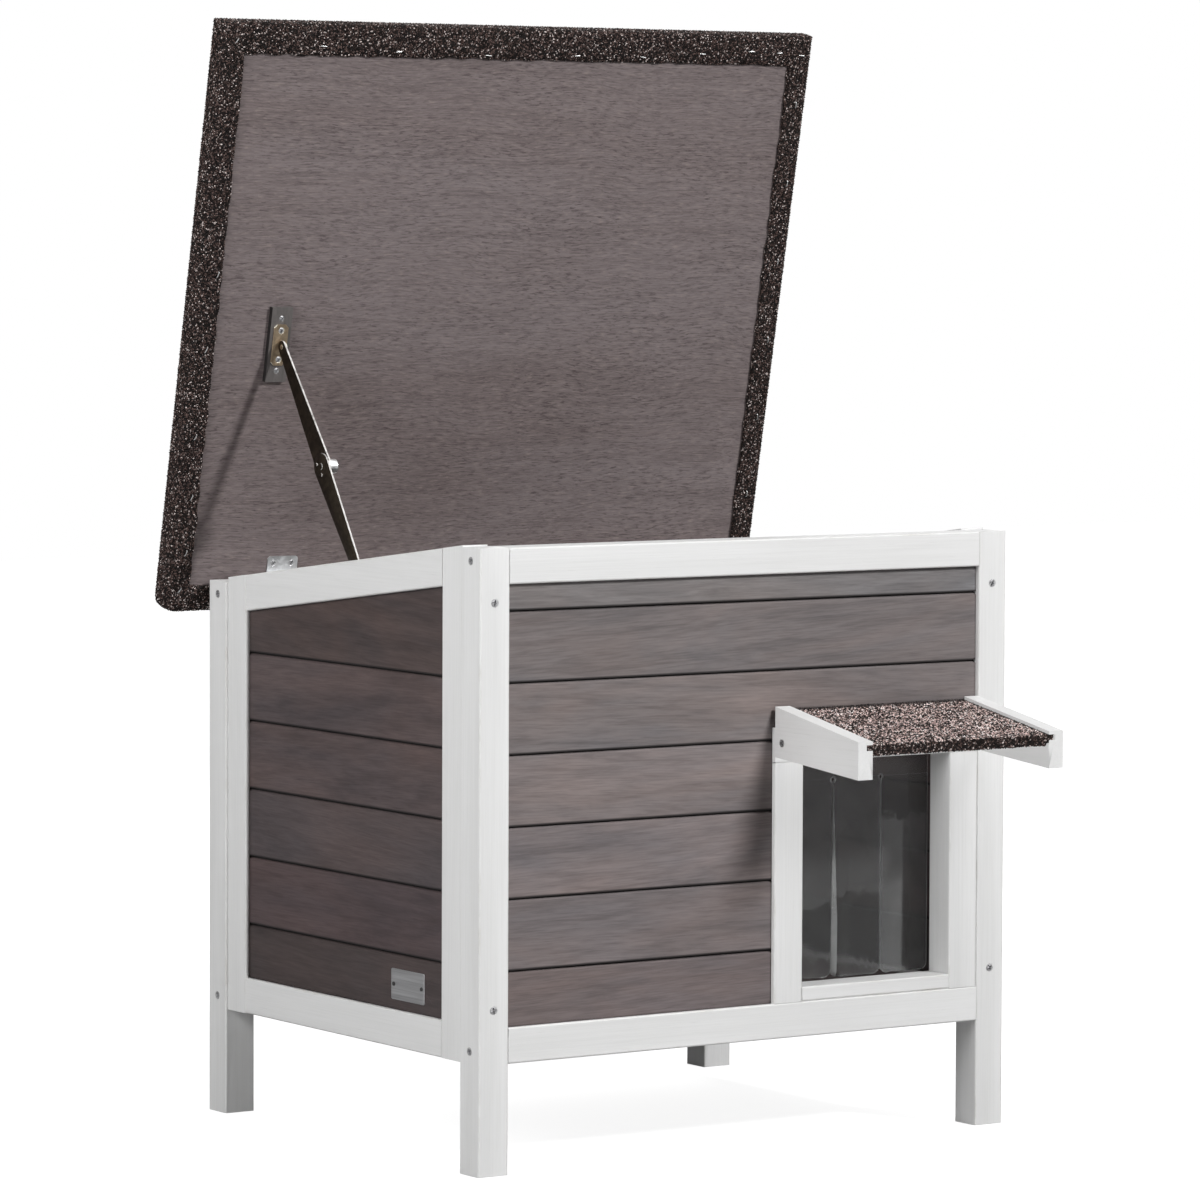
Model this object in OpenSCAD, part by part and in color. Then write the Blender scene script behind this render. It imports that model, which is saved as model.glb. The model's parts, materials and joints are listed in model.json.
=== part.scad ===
// Outdoor cat house: four square posts, boarded walls, a felted lid hinged at the rear,
// a small felted awning over the doorway and a clear strip flap.
// House frame: x runs right from the left posts, y runs back from the front posts, z is up.
// The lid is drawn open, held by its folding stay, and place() centres the whole on the origin.

/* [House] */
// Width over the posts
house_w = 650; // [580:1:740]
// Depth over the posts
house_d = 525; // [470:1:600]
// Height of the front posts
front_h = 619; // [580:1:680]
// Side of each square post
post = 35; // [31:1:40]
// Clear height under the walls
leg_clear = 110; // [70:1:140]
// Fall of the roof towards the rear, in degrees
roof_slope = 7; // [5:0.5:9]
// Height of the roof plane over the front posts, at their rear face
roof_rise = 1.5; // [0.5:0.5:4]
// Height of the front and rear rails, and width of the doorway's timbers
rail_h = 36; // [31:1:42]
// Rounding of the long edges of the timber
edge_r = 2; // [0.5:0.5:4]

/* [Side panels] */
// Thickness of the side frames
panel_t = 30; // [26:1:31]
// Set-back of the side frames from the posts' outer faces
panel_inset = 2; // [0.5:0.5:4]
// Width of the side frames' stiles and rails
side_member = 37.5; // [33:0.5:44]

/* [Boards] */
// Thickness of the wall boards
board_t = 10; // [8:0.5:12]
// Set-back of the boards' faces from the frame
board_recess = 5; // [3:0.5:7]
// Height of the lowest front board over the bottom rail
front_first = 55.5; // [45:0.5:65]
// Height of the topmost front board under the top rail
front_last = 26; // [18:0.5:34]
// Height of the notched front board's lower edge over the underside of the doorway's head
notch_rise = 23.8; // [12:0.2:32]
// Height of the lowest side board over the bottom rail
side_first = 57; // [45:0.5:65]
// Shadow gap between two boards
joint_gap = 1.4; // [0.8:0.1:2]
// Bevel along the top outer edge of each board
joint_bevel = 2.2; // [1:0.1:3]
// Thickness of the tongue on each board's top edge
tongue_t = 3; // [2:0.5:4]
// Height of the tongue
tongue_l = 4; // [3:0.5:5]
// Depth of the grooves that hold the boards in the frames
groove_d = 6; // [4:0.5:8]
// Play of a board in its groove, and of a panel in its slot
fit = 0.2; // [0.1:0.05:0.4]
// Width of the cleats behind the boards' ends
cleat_w = 18; // [12:1:24]

/* [Doorway] */
// Clear width of the doorway
door_w = 187; // [150:1:220]
// Clear height of the doorway over its sill
door_h = 230; // [200:1:245]
// Height of the sill
sill_h = 15; // [10:1:22]

/* [Awning] */
// Reach of the awning from the front face
awning_reach = 141; // [110:1:180]
// Fall of the awning towards the front, in degrees
awning_pitch = 10.25; // [7:0.25:13]
// Thickness of the awning's cheeks
cheek_t = 18; // [15:1:24]
// Height of a cheek at the wall
cheek_back_h = 51.3; // [46:0.1:60]
// Height of a cheek at its front end
cheek_front_h = 38; // [32:0.5:44]
// Height of a cheek's lower corner at the wall over the doorway's head
cheek_lift = 6.4; // [3:0.2:9]
// Depth of the slot in each cheek
slot_depth = 7.5; // [5:0.5:10]
// Wood left over the slot
slot_cover = 3.4; // [2.4:0.2:5]
// Thickness of the awning's board
awning_board_t = 6; // [5:0.5:8]
// Felt turned under the awning's front edge
awning_turn = 12; // [8:1:20]
// Gap between the turned felt and each cheek
turn_gap = 0.5; // [0.3:0.1:1]
// Depth of the batten that the cheeks are screwed to
awning_batten = 22; // [16:1:28]
// Gap between the awning's board and the wall boards
awning_wall_gap = 0.5; // [0.3:0.1:1.5]
// Room over the front edge of the batten
batten_room = 0.5; // [0.3:0.1:2]

/* [Flap] */
// Thickness of the clear sheet
flap_t = 1.8; // [1.2:0.1:2.4]
// Gap at each side of the flap in the doorway
flap_side_gap = 2.3; // [1.5:0.1:4]
// Gap between the flap and the sill
flap_foot_gap = 2; // [1:0.5:5]
// Distance of the bend line below the doorway's head
flap_bend_drop = 24.5; // [15:0.5:40]
// Overlap of the sheet on the doorway's head
flap_overlap = 28; // [22:1:32]
// Width of the slits between the tongues
flap_slit = 1.2; // [0.8:0.1:2]
// Diameter of the round hole at each slit's end
slit_hole_d = 4; // [3:0.5:6]
// Radius of the tongues' lower corners
flap_corner_r = 8; // [4:1:14]

/* [Floor] */
// Thickness of the floor panel
floor_t = 9; // [6:0.5:12]
// Height of the floor's top below the top of the bottom rails
floor_drop = 1; // [0:0.5:4]
// Play round the floor panel
floor_gap = 1; // [0.5:0.5:3]
// Width of the battens under the floor
floor_batten = 20; // [15:1:26]

/* [Lid] */
// Overhang of the lid past each side
lid_side = 48; // [36:1:60]
// Overhang of the closed lid past the front
lid_front = 61.5; // [45:0.5:75]
// Length of the lid behind the hinge axis
lid_tail = 31; // [26:1:40]
// Cut across the lid's two rear corners
lid_corner = 9; // [6:0.5:12]
// Thickness of the lid's plywood
roof_board_t = 15; // [12:0.5:18]
// Thickness of the roofing felt
felt_t = 3; // [2:0.5:4]
// Width of the felt turned under the lid
felt_return = 27.5; // [20:0.5:28]
// Width of the felt turned under at the lid's front
felt_front = 32; // [24:0.5:34]
// Gap between the closed lid and the side frames
lid_gap = 0.3; // [0.2:0.1:1]
// Opening angle of the lid, from closed to held by its stay, in degrees
lid_open_angle = 71.5; // [60:0.5:78]

/* [Hinges] */
// Width of each butt hinge
hinge_w = 37; // [30:1:45]
// Length of a hinge leaf from the pin
leaf_l = 25.3; // [22:0.1:30]
// Thickness of a hinge leaf
leaf_t = 1.2; // [1:0.1:1.5]
// Radius of the hinge barrel
barrel_r = 2.6; // [2.4:0.1:3.2]
// Diameter of the hinge pin
pin_d = 2.4; // [2:0.1:3]
// Distance of the hinge axis behind the rear face
hinge_back = 4; // [3.4:0.1:6]
// Distance of each hinge's middle from the side of the house
hinge_x = 91; // [80:1:130]
// Distance of the leaf's screws from its outer edge
leaf_screw_in = 7.4; // [6:0.1:9]
// Rounding of the leaf's outer corners
leaf_corner_r = 3.5; // [1:0.5:5]
// Spacing of the two screws in a leaf
leaf_screw_gap = 22; // [16:1:26]
// Radial play of a pin in its bore
run_play = 0.05; // [0.02:0.01:0.1]
// End play between two knuckles
knuckle_gap = 0.3; // [0.2:0.1:0.6]

/* [Stay] */
// Distance of the stay's lid pivot from the hinge axis, along the lid
stay_s = 256; // [235:1:275]
// Distance of the stay's side pivot behind the front face
stay_y = 298; // [280:1:315]
// Distance of the side pivot below the top of the side frame
stay_below = 26; // [22:0.5:30]
// Length of the two wooden blocks
block_l = 80; // [70:1:90]
// Width of the two wooden blocks
block_w = 25; // [22:1:28]
// Thickness of the block on the lid
lid_block_t = 5.5; // [5:0.5:10]
// Thickness of the block on the side frame
side_block_t = 16; // [12:0.5:20]
// Thickness of the bracket plates
bracket_t = 1.5; // [1:0.1:2]
// Length of the bracket plates
bracket_l = 44; // [40:1:50]
// Width of the bracket plates
bracket_w = 17; // [14:1:20]
// Cut across the corners of the bracket plates
bracket_clip = 3.5; // [2:0.5:5]
// Height of the lid pivot over its bracket plate
pivot_h = 8.9; // [7:0.1:10]
// Diameter of the pivot pins
pivot_d = 5; // [4:0.1:6]
// Thickness of the stay's arms
arm_t = 2; // [1.5:0.1:3]
// Width of an arm at its outer pivot
arm_end_w = 13; // [10:0.5:13.6]
// Width of an arm at the middle knuckle
arm_mid_w = 27.5; // [18:0.5:28]
// Gap between the stay's plates
stay_gap = 0.5; // [0.3:0.1:0.8]
// Diameter of the knob at the middle knuckle
knob_d = 15; // [9:0.5:15]
// Length of the knob
knob_l = 12; // [8:0.5:14]

/* [Side plate] */
// Length of the blank metal plate
plate_l = 62; // [45:1:75]
// Height of the blank metal plate
plate_h = 31; // [24:0.5:38]
// Thickness of the blank metal plate
plate_t = 0.8; // [0.5:0.1:1.2]
// Distance of the plate behind the front post
plate_y = 75; // [60:1:110]
// Height of the plate over the bottom rail
plate_z = 10; // [8:0.5:14]
// Rounding of the plate's corners
plate_corner_r = 2; // [1:0.5:4]
// Distance of the plate's two pins from its ends
plate_pin_in = 5; // [4:0.5:8]
// Diameter of the plate's pins
plate_pin_d = 2; // [1.5:0.1:2.5]

/* [Screws] */
// Diameter of the frame screws
screw_d = 4.5; // [4:0.1:5]
// Length of the frame screws
screw_l = 60; // [50:1:62]
// Diameter of the frame screws' heads
screw_head = 9; // [8:0.1:10]
// Distance of the rail screws from the outer edges of the rails
rail_screw_in = 13; // [10:0.5:17]
// Distance of the upper rear screws from the top of the rear rail
rear_screw_in = 8.5; // [7:0.5:17]
// Distance of the stile screws from the ends of the side frames
stile_screw_in = 54; // [45:0.5:65]
// Diameter of the small screws
small_d = 3.5; // [3:0.1:4]
// Diameter of the small screws' heads
small_head = 7; // [6:0.1:7.6]
// Radial play of a screw in its hole
screw_play = 0.05; // [0.02:0.01:0.1]

/* [Hidden] */
$fn = 32;
eps = 1;

PAINT = "#ece9e4";
STAIN = "#7d7470";
PLY = "#6f6664";
FELT = "#3a302d";
ZINC = "#c9cbcd";
BRASS = "#a58a68";
CLEAR = "#9fb0b8";

// Roof plane and wall heights
function roof_z(y) = front_h + roof_rise - tan(roof_slope) * (y - post);
rail_top = leg_clear + rail_h;
top_rail_z = front_h - rail_h;
side_rail_top = leg_clear + side_member;
side_drop = side_member / cos(roof_slope);
function side_open_z(y) = roof_z(y) - side_drop;
rear_h = roof_z(house_d) - lid_gap;
panel_y0 = post;
panel_y1 = house_d - post;
open_y0 = panel_y0 + side_member;
open_y1 = panel_y1 - side_member;
panel_in_x = panel_inset + panel_t;
board_x = panel_inset + board_recess;
first_joint = rail_top + front_first;
front_board_count = 7;
low_board_count = 4;
board_pitch = (top_rail_z - front_last - first_joint) / (front_board_count - 2);
function rear_joint(i) = first_joint + i * board_pitch;

// Doorway
jamb_x = house_w - post - rail_h;
stile_x = jamb_x - door_w - rail_h;
door_x = stile_x + rail_h;
sill_z = rail_top + sill_h;
head_z = sill_z + door_h;
head_top = head_z + rail_h;
notch_joint = head_z + notch_rise;

// Hinge axis: the closed lid's underside passes a little over the barrel
axis_y = house_d + hinge_back;
hinge_drop = barrel_r + lid_gap;
axis_z = roof_z(axis_y) + (lid_gap - hinge_drop) / cos(roof_slope);
rear_rail_top = axis_z - barrel_r;
rear_rail_z = rear_rail_top - rail_h;

// Lid, in its own frame: y runs back from the hinge axis, z is the lid's upward normal
lid_lean = roof_slope + lid_open_angle;
lid_reach = (axis_y + lid_front) / cos(roof_slope);
lid_x0 = -lid_side;
lid_x1 = house_w + lid_side;
ply_z = hinge_drop;
ply_top = ply_z + roof_board_t;
lid_back_y = axis_y + lid_tail * cos(lid_lean) + (ply_top + felt_t) * sin(lid_lean);
mid_y = (lid_back_y - awning_reach) / 2;

// Stay: the two arms are in line when the lid is open
lid_bracket_z = ply_z - lid_block_t - bracket_t;
lid_pivot_z = lid_bracket_z - pivot_h;
upper_y = axis_y - stay_s * cos(lid_lean) + lid_pivot_z * sin(lid_lean);
upper_z = axis_z + stay_s * sin(lid_lean) + lid_pivot_z * cos(lid_lean);
lower_y = stay_y;
lower_z = roof_z(stay_y) - stay_below;
stay_run = sqrt(pow(upper_y - lower_y, 2) + pow(upper_z - lower_z, 2));
stay_tilt = atan2(upper_z - lower_z, upper_y - lower_y);
arm_l = stay_run / 2;
side_plate_x = panel_in_x + side_block_t;
lower_arm_x = side_plate_x + bracket_t + stay_gap;
upper_arm_x = lower_arm_x + arm_t + stay_gap;
ear_x = upper_arm_x + arm_t + stay_gap;
lid_block_x = ear_x + bracket_t / 2 - bracket_w / 2 + (bracket_w - block_w) / 2;
block_screw_in = 12;
bracket_screw_in = 6.5;
rivet_d = 7;
rivet_h = 0.8;

// Awning, in its own frame: y runs along the slope from the wall, z is the felt's normal
cheek_z = head_z + cheek_lift;
cheek_top = cheek_z + cheek_back_h;
cheek_front_top = cheek_top - awning_reach * tan(awning_pitch);
awning_x0 = stile_x;
awning_x1 = house_w - post;
slot_h = awning_board_t + felt_t + 2 * fit;
slot_z = cheek_top - slot_cover / cos(awning_pitch);
awning_back = (board_recess - awning_wall_gap - slot_h * sin(awning_pitch)) / cos(awning_pitch);
awning_front = awning_reach / cos(awning_pitch);
slot_under = slot_z - slot_h / cos(awning_pitch);
batten_top = min(head_top, slot_under - awning_batten * tan(awning_pitch) - batten_room);
cheek_screw_z = (cheek_z + batten_top) / 2;

// Flap
flap_x0 = door_x + flap_side_gap;
flap_x1 = jamb_x - flap_side_gap;
flap_y0 = post;
flap_mid_y = flap_y0 + flap_t / 2;
bend_z = head_z - flap_bend_drop;
tongue_w = (flap_x1 - flap_x0 - 2 * flap_slit) / 3;
tongue_gap = 0.4;
flap_foot_z = sill_z + flap_foot_gap;
flap_screw_count = 4;
flap_screw_l = 14;
pan_head = 8;
pan_h = 2.2;

// Floor
floor_top = rail_top - floor_drop;
floor_z = floor_top - floor_t;

// Small screws
leaf_screw_s = leaf_l - leaf_screw_in;
leaf_screw_l = 12;
block_screw_l = 18;
bracket_screw_l = 14;
side_block_screw_l = 30;
plate_pin_l = 8;
recess_w = 1;
recess_share = 0.6;
tip_l = 6;

// Placing helpers
module place() translate([-house_w / 2, -mid_y, 0]) children();
module along_x() rotate([90, 0, 90]) children();
module along_y(l) translate([0, l, 0]) rotate([90, 0, 0]) children();
module mirror_side() translate([house_w, 0, 0]) mirror([1, 0, 0]) children();
module mirror_rear() translate([0, house_d, 0]) mirror([0, 1, 0]) children();
module on_lid() translate([0, axis_y, axis_z]) rotate([-lid_lean, 0, 0]) children();
module on_awning() translate([0, 0, slot_z]) rotate([awning_pitch, 0, 0]) children();

// Timber with rounded long edges
module rounded_rect(a, b, r) {
  translate([r, 0]) square([a - 2 * r, b]);
  translate([0, r]) square([a, b - 2 * r]);
  for (x = [r, a - r], y = [r, b - r]) translate([x, y]) circle(r);
}
module upright(a, b, h) linear_extrude(h) rounded_rect(a, b, edge_r);
module beam_x(l, a, b) along_x() linear_extrude(l) rounded_rect(a, b, edge_r);
module beam_y(l, a, b) along_y(l) linear_extrude(l) rounded_rect(a, b, edge_r);

// Screws point down, with the top of the head at zero
module screw(d, l, head) {
  head_h = (head - d) / 2 + 0.4;
  tip = min(tip_l, l / 3);
  difference() {
    union() {
      translate([0, 0, -head_h]) cylinder(d1 = d, d2 = head, h = head_h);
      translate([0, 0, tip - l]) cylinder(d = d, h = l - tip - head_h);
      translate([0, 0, -l]) cylinder(d1 = d / 5, d2 = d, h = tip);
    }
    for (a = [0, 90]) rotate(a) {
      translate([-head * recess_share / 2, -recess_w / 2, -head_h * recess_share])
        cube([head * recess_share, recess_w, head_h]);
    }
  }
}
module screw_hole(d, l, head) {
  head_h = (head - d) / 2 + 0.4;
  p = 2 * screw_play;
  translate([0, 0, -head_h]) cylinder(d1 = d + p, d2 = head + p, h = head_h);
  cylinder(d = head + p, h = eps);
  translate([0, 0, -l - eps]) cylinder(d = d + p, h = l + eps);
}
module frame_screw() screw(screw_d, screw_l, screw_head);
module frame_hole() screw_hole(screw_d, screw_l, screw_head);
module small_screw(l) screw(small_d, l, small_head);
module small_hole(l) screw_hole(small_d, l, small_head);

// Places of the frame screws at one corner: right is 0 or 1, rear is 0 or 1
function rail_screw_z(rear) =
  [leg_clear + rail_screw_in, rear ? rear_rail_top - rear_screw_in : front_h - rail_screw_in];
function stile_screw_z(rear) = [leg_clear + stile_screw_in, (rear ? rear_h : front_h) - stile_screw_in];
module at_rail_screws(right, rear) for (z = rail_screw_z(rear)) {
  translate([right ? house_w : 0, rear ? house_d - post / 2 : post / 2, z])
    rotate([0, right ? 90 : -90, 0]) children();
}
module at_stile_screws(right, rear) for (z = stile_screw_z(rear)) {
  translate([right ? house_w - post / 2 : post / 2, rear ? house_d : 0, z])
    rotate([rear ? -90 : 90, 0, 0]) children();
}
module at_cheek_screw(right) {
  translate([right ? awning_x1 : awning_x0, -awning_batten / 2, cheek_screw_z])
    rotate([0, right ? 90 : -90, 0]) children();
}

// Posts
module corner_post(right, rear) color(PAINT) place() difference() {
  translate([right ? house_w - post : 0, rear ? house_d - post : 0, 0])
    upright(post, post, rear ? rear_h : front_h);
  at_rail_screws(right, rear) frame_hole();
  at_stile_screws(right, rear) frame_hole();
}
module post_front_left() corner_post(0, 0);
module post_front_right() corner_post(1, 0);
module post_rear_left() corner_post(0, 1);
module post_rear_right() corner_post(1, 1);

// Tongued boards: the outline runs from the outer face inwards, and the last board has no tongue
module board_outline(h, grooved, tongued) {
  shoulder = tongued ? h - joint_gap : h;
  bevel = tongued ? joint_bevel : 0;
  t0 = (board_t - tongue_t) / 2;
  t1 = t0 + tongue_t;
  difference() {
    union() {
      polygon([[0, 0], [board_t, 0], [board_t, shoulder], [bevel, shoulder], [0, shoulder - bevel]]);
      if (tongued) translate([t0, shoulder - eps]) square([tongue_t, tongue_l + eps]);
    }
    if (grooved) translate([t0 - fit, -eps])
      square([t1 - t0 + 2 * fit, eps + tongue_l - joint_gap + 2 * fit]);
  }
}

// Front wall
module front_board_area(shrink) {
  l = post + shrink;
  r = house_w - post - shrink;
  b = rail_top - groove_d + shrink;
  t = top_rail_z + groove_d - shrink;
  s = stile_x + groove_d - shrink;
  h = head_top + shrink;
  polygon([[l, b], [s, b], [s, h], [r, h], [r, t], [l, t]]);
}
module front_groove() translate([0, board_recess + board_t + fit, 0]) rotate([90, 0, 0])
  linear_extrude(board_t + 2 * fit) front_board_area(0);
low_pitch = (notch_joint - first_joint) / (low_board_count - 1);
high_pitch = (top_rail_z - front_last - notch_joint) / (front_board_count - 1 - low_board_count);
function front_joint(i) = i < low_board_count
  ? first_joint + i * low_pitch
  : notch_joint + (i - low_board_count + 1) * high_pitch;
module front_board(i) color(STAIN) place() {
  z0 = i == 0 ? rail_top - groove_d : front_joint(i - 1);
  z1 = i == front_board_count - 1 ? top_rail_z + groove_d : front_joint(i);
  intersection() {
    translate([post, board_recess, z0]) along_x() linear_extrude(house_w - 2 * post)
      board_outline(z1 - z0, i > 0, i < front_board_count - 1);
    translate([0, board_recess + board_t + eps, 0]) rotate([90, 0, 0])
      linear_extrude(board_t + 2 * eps) front_board_area(fit);
  }
}
module front_board_1() front_board(0);
module front_board_2() front_board(1);
module front_board_3() front_board(2);
module front_board_4() front_board(3);
module front_board_5() front_board(4);
module front_board_6() front_board(5);
module front_board_7() front_board(6);

module front_top_rail() color(PAINT) place() difference() {
  translate([post, 0, top_rail_z]) beam_x(house_w - 2 * post, post, rail_h);
  front_groove();
  for (right = [0, 1]) at_rail_screws(right, 0) frame_hole();
}
module front_bottom_rail() color(PAINT) place() difference() {
  translate([post, 0, leg_clear]) beam_x(house_w - 2 * post, post, rail_h);
  front_groove();
  for (right = [0, 1]) at_rail_screws(right, 0) frame_hole();
}
module door_stile() color(PAINT) place() difference() {
  translate([stile_x, 0, rail_top]) upright(rail_h, post, head_z - rail_top);
  front_groove();
}
module door_jamb() color(PAINT) place()
  translate([jamb_x, 0, rail_top]) upright(rail_h, post, head_z - rail_top);
module door_head() color(PAINT) place() difference() {
  translate([stile_x, 0, head_z]) beam_x(house_w - post - stile_x, post, rail_h);
  front_groove();
  at_flap_screws() flap_hole();
}
module door_sill() color(PAINT) place()
  translate([door_x, 0, rail_top]) beam_x(door_w, post, sill_h);

// Cleats behind the ends of the front and rear boards
module wall_cleats() color(PAINT) place() {
  depth = post - board_recess - board_t - fit;
  y0 = board_recess + board_t + fit;
  translate([post, y0, rail_top]) cube([cleat_w, depth, top_rail_z - rail_top]);
  translate([house_w - post - cleat_w, y0, head_top]) cube([cleat_w, depth, top_rail_z - head_top]);
  mirror_rear() for (x = [post, house_w - post - cleat_w])
    translate([x, y0, rail_top]) cube([cleat_w, depth, rear_rail_z - rail_top]);
}

// Side panels, drawn at the left and mirrored to the right
side_board_count = 6;
function side_joint(i) = side_rail_top + side_first + i * board_pitch;
module side_board_area(shrink) {
  d = groove_d - shrink;
  y0 = open_y0 - d;
  y1 = open_y1 + d;
  polygon([
    [y0, side_rail_top - d], [y1, side_rail_top - d],
    [y1, side_open_z(y1) + d], [y0, side_open_z(y0) + d]
  ]);
}
module side_groove() translate([board_x - fit, 0, 0]) along_x()
  linear_extrude(board_t + 2 * fit) side_board_area(0);
module side_board(i) {
  z0 = i == 0 ? side_rail_top - groove_d : side_joint(i - 1);
  z1 = i == side_board_count - 1 ? front_h : side_joint(i);
  intersection() {
    translate([board_x, 0, z0]) along_y(house_d) linear_extrude(house_d)
      board_outline(z1 - z0, i > 0, i < side_board_count - 1);
    translate([board_x - eps, 0, 0]) along_x() linear_extrude(board_t + 2 * eps) side_board_area(fit);
  }
}
module side_boards() for (i = [0:side_board_count - 1]) side_board(i);
module side_outline(y0, y1) translate([panel_inset - eps, 0, 0]) along_x() linear_extrude(panel_t + 2 * eps)
  polygon([[y0, 0], [y1, 0], [y1, roof_z(y1)], [y0, roof_z(y0)]]);
module side_top_rail() difference() {
  intersection() {
    translate([panel_inset, post, roof_z(post)]) rotate([-roof_slope, 0, 0])
      translate([0, -side_member, -side_member]) beam_y(house_d, panel_t, side_member);
    side_outline(open_y0, open_y1);
  }
  side_groove();
}
module side_bottom_rail() difference() {
  translate([panel_inset, open_y0, leg_clear]) beam_y(open_y1 - open_y0, panel_t, side_member);
  side_groove();
}
module side_stile(rear) difference() {
  y0 = rear ? open_y1 : panel_y0;
  intersection() {
    translate([panel_inset, y0, leg_clear]) upright(panel_t, side_member, front_h);
    side_outline(y0, y0 + side_member);
  }
  side_groove();
  at_stile_screws(0, rear) frame_hole();
}
module left_top_rail() color(PAINT) place() difference() {
  side_top_rail();
  at_side_block_screws() small_hole(side_block_screw_l);
}
module left_bottom_rail() color(PAINT) place() side_bottom_rail();
module left_front_stile() color(PAINT) place() side_stile(0);
module left_rear_stile() color(PAINT) place() side_stile(1);
module left_boards() color(STAIN) place() difference() {
  side_boards();
  at_plate_pins() cylinder(d = plate_pin_d + 2 * screw_play, h = 2 * plate_pin_l, center = true);
}
module right_top_rail() color(PAINT) place() mirror_side() side_top_rail();
module right_bottom_rail() color(PAINT) place() mirror_side() side_bottom_rail();
module right_front_stile() color(PAINT) place() mirror_side() side_stile(0);
module right_rear_stile() color(PAINT) place() mirror_side() side_stile(1);
module right_boards() color(STAIN) place() mirror_side() side_boards();

// Rear wall
rear_board_count = 6;
module rear_groove() mirror_rear() translate([post, board_recess - fit, rail_top - groove_d])
  cube([house_w - 2 * post, board_t + 2 * fit, rear_rail_z - rail_top + 2 * groove_d]);
module rear_top_rail() color(PAINT) place() difference() {
  translate([post, house_d - post, rear_rail_z]) beam_x(house_w - 2 * post, post, rail_h);
  rear_groove();
  for (right = [0, 1]) at_rail_screws(right, 1) frame_hole();
  at_house_leaf_screws() small_hole(leaf_screw_l);
}
module rear_bottom_rail() color(PAINT) place() difference() {
  translate([post, house_d - post, leg_clear]) beam_x(house_w - 2 * post, post, rail_h);
  rear_groove();
  for (right = [0, 1]) at_rail_screws(right, 1) frame_hole();
}
module rear_boards() color(STAIN) place() mirror_rear() for (i = [0:rear_board_count - 1]) {
  z0 = i == 0 ? rail_top - groove_d + fit : rear_joint(i - 1);
  z1 = i == rear_board_count - 1 ? rear_rail_z + groove_d - fit : rear_joint(i);
  translate([post + fit, board_recess, z0]) along_x() linear_extrude(house_w - 2 * (post + fit))
    board_outline(z1 - z0, i > 0, i < rear_board_count - 1);
}

// Floor
module floor_panel() color(STAIN) place()
  translate([panel_in_x + floor_gap, post + floor_gap, floor_z])
    cube([house_w - 2 * (panel_in_x + floor_gap), house_d - 2 * (post + floor_gap), floor_t]);
module floor_battens() color(PAINT) place() for (y = [post, house_d - post - floor_batten])
  translate([post, y, floor_z - floor_batten]) cube([house_w - 2 * post, floor_batten, floor_batten]);

// Awning
module cheek() difference() {
  along_x() linear_extrude(cheek_t) polygon([
    [0, cheek_z], [0, cheek_top],
    [-awning_reach, cheek_front_top], [-awning_reach, cheek_front_top - cheek_front_h]
  ]);
  on_awning() translate([cheek_t - slot_depth, -awning_front - eps, -slot_h])
    cube([slot_depth + eps, awning_front + 2 * eps + awning_back, slot_h]);
}
module awning_cheek_left() color(PAINT) place() difference() {
  translate([awning_x0, 0, 0]) cheek();
  at_cheek_screw(0) frame_hole();
}
module awning_cheek_right() color(PAINT) place() difference() {
  translate([awning_x1, 0, 0]) mirror([1, 0, 0]) cheek();
  at_cheek_screw(1) frame_hole();
}
awning_in_x0 = awning_x0 + cheek_t - slot_depth + fit;
awning_in_x1 = awning_x1 - cheek_t + slot_depth - fit;
awning_tip = awning_front - felt_t - slot_h * sin(awning_pitch);
module awning_board() color(PLY) place() on_awning()
  translate([awning_in_x0, -awning_tip, fit - slot_h])
    cube([awning_in_x1 - awning_in_x0, awning_tip + awning_back, awning_board_t]);
module awning_felt() color(FELT) place() on_awning() translate([awning_in_x0, -awning_tip, fit - slot_h]) {
  w = awning_in_x1 - awning_in_x0;
  translate([0, 0, awning_board_t]) cube([w, awning_tip + awning_back, felt_t]);
  translate([0, -felt_t, 0]) cube([w, felt_t, awning_board_t + felt_t]);
  turn_x = slot_depth - fit + turn_gap;
  translate([turn_x, -felt_t, -felt_t]) cube([w - 2 * turn_x, felt_t, awning_board_t + 2 * felt_t]);
  translate([turn_x, 0, -felt_t]) cube([w - 2 * turn_x, awning_turn, felt_t]);
}
module awning_batten_bar() color(PAINT) place() difference() {
  translate([awning_x0 + cheek_t, -awning_batten, cheek_z])
    cube([awning_x1 - awning_x0 - 2 * cheek_t, awning_batten, batten_top - cheek_z]);
  for (right = [0, 1]) at_cheek_screw(right) frame_hole();
}

// Flap: a band on the doorway's head, and three tongues that bend under it
module at_flap_screws() for (i = [0:flap_screw_count - 1]) {
  step = (flap_x1 - flap_x0) / flap_screw_count;
  translate([flap_x0 + (i + 0.5) * step, flap_y0 + flap_t, head_z + flap_overlap / 2])
    rotate([-90, 0, 0]) children();
}
module flap_hole() translate([0, 0, -flap_screw_l - eps])
  cylinder(d = small_d + 2 * screw_play, h = flap_screw_l + 2 * eps);
module at_slit_holes() for (i = [1, 2])
  translate([flap_x0 + i * (tongue_w + flap_slit) - flap_slit / 2, flap_mid_y, bend_z])
    rotate([90, 0, 0]) children();
module slit_holes() at_slit_holes() cylinder(d = slit_hole_d, h = 2 * flap_t, center = true);
module flap_band() color(CLEAR) place() difference() {
  z0 = bend_z + flap_t / 2 + tongue_gap;
  translate([flap_x0, flap_y0, z0]) cube([flap_x1 - flap_x0, flap_t, head_z + flap_overlap - z0]);
  slit_holes();
  at_flap_screws() flap_hole();
}
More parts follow.
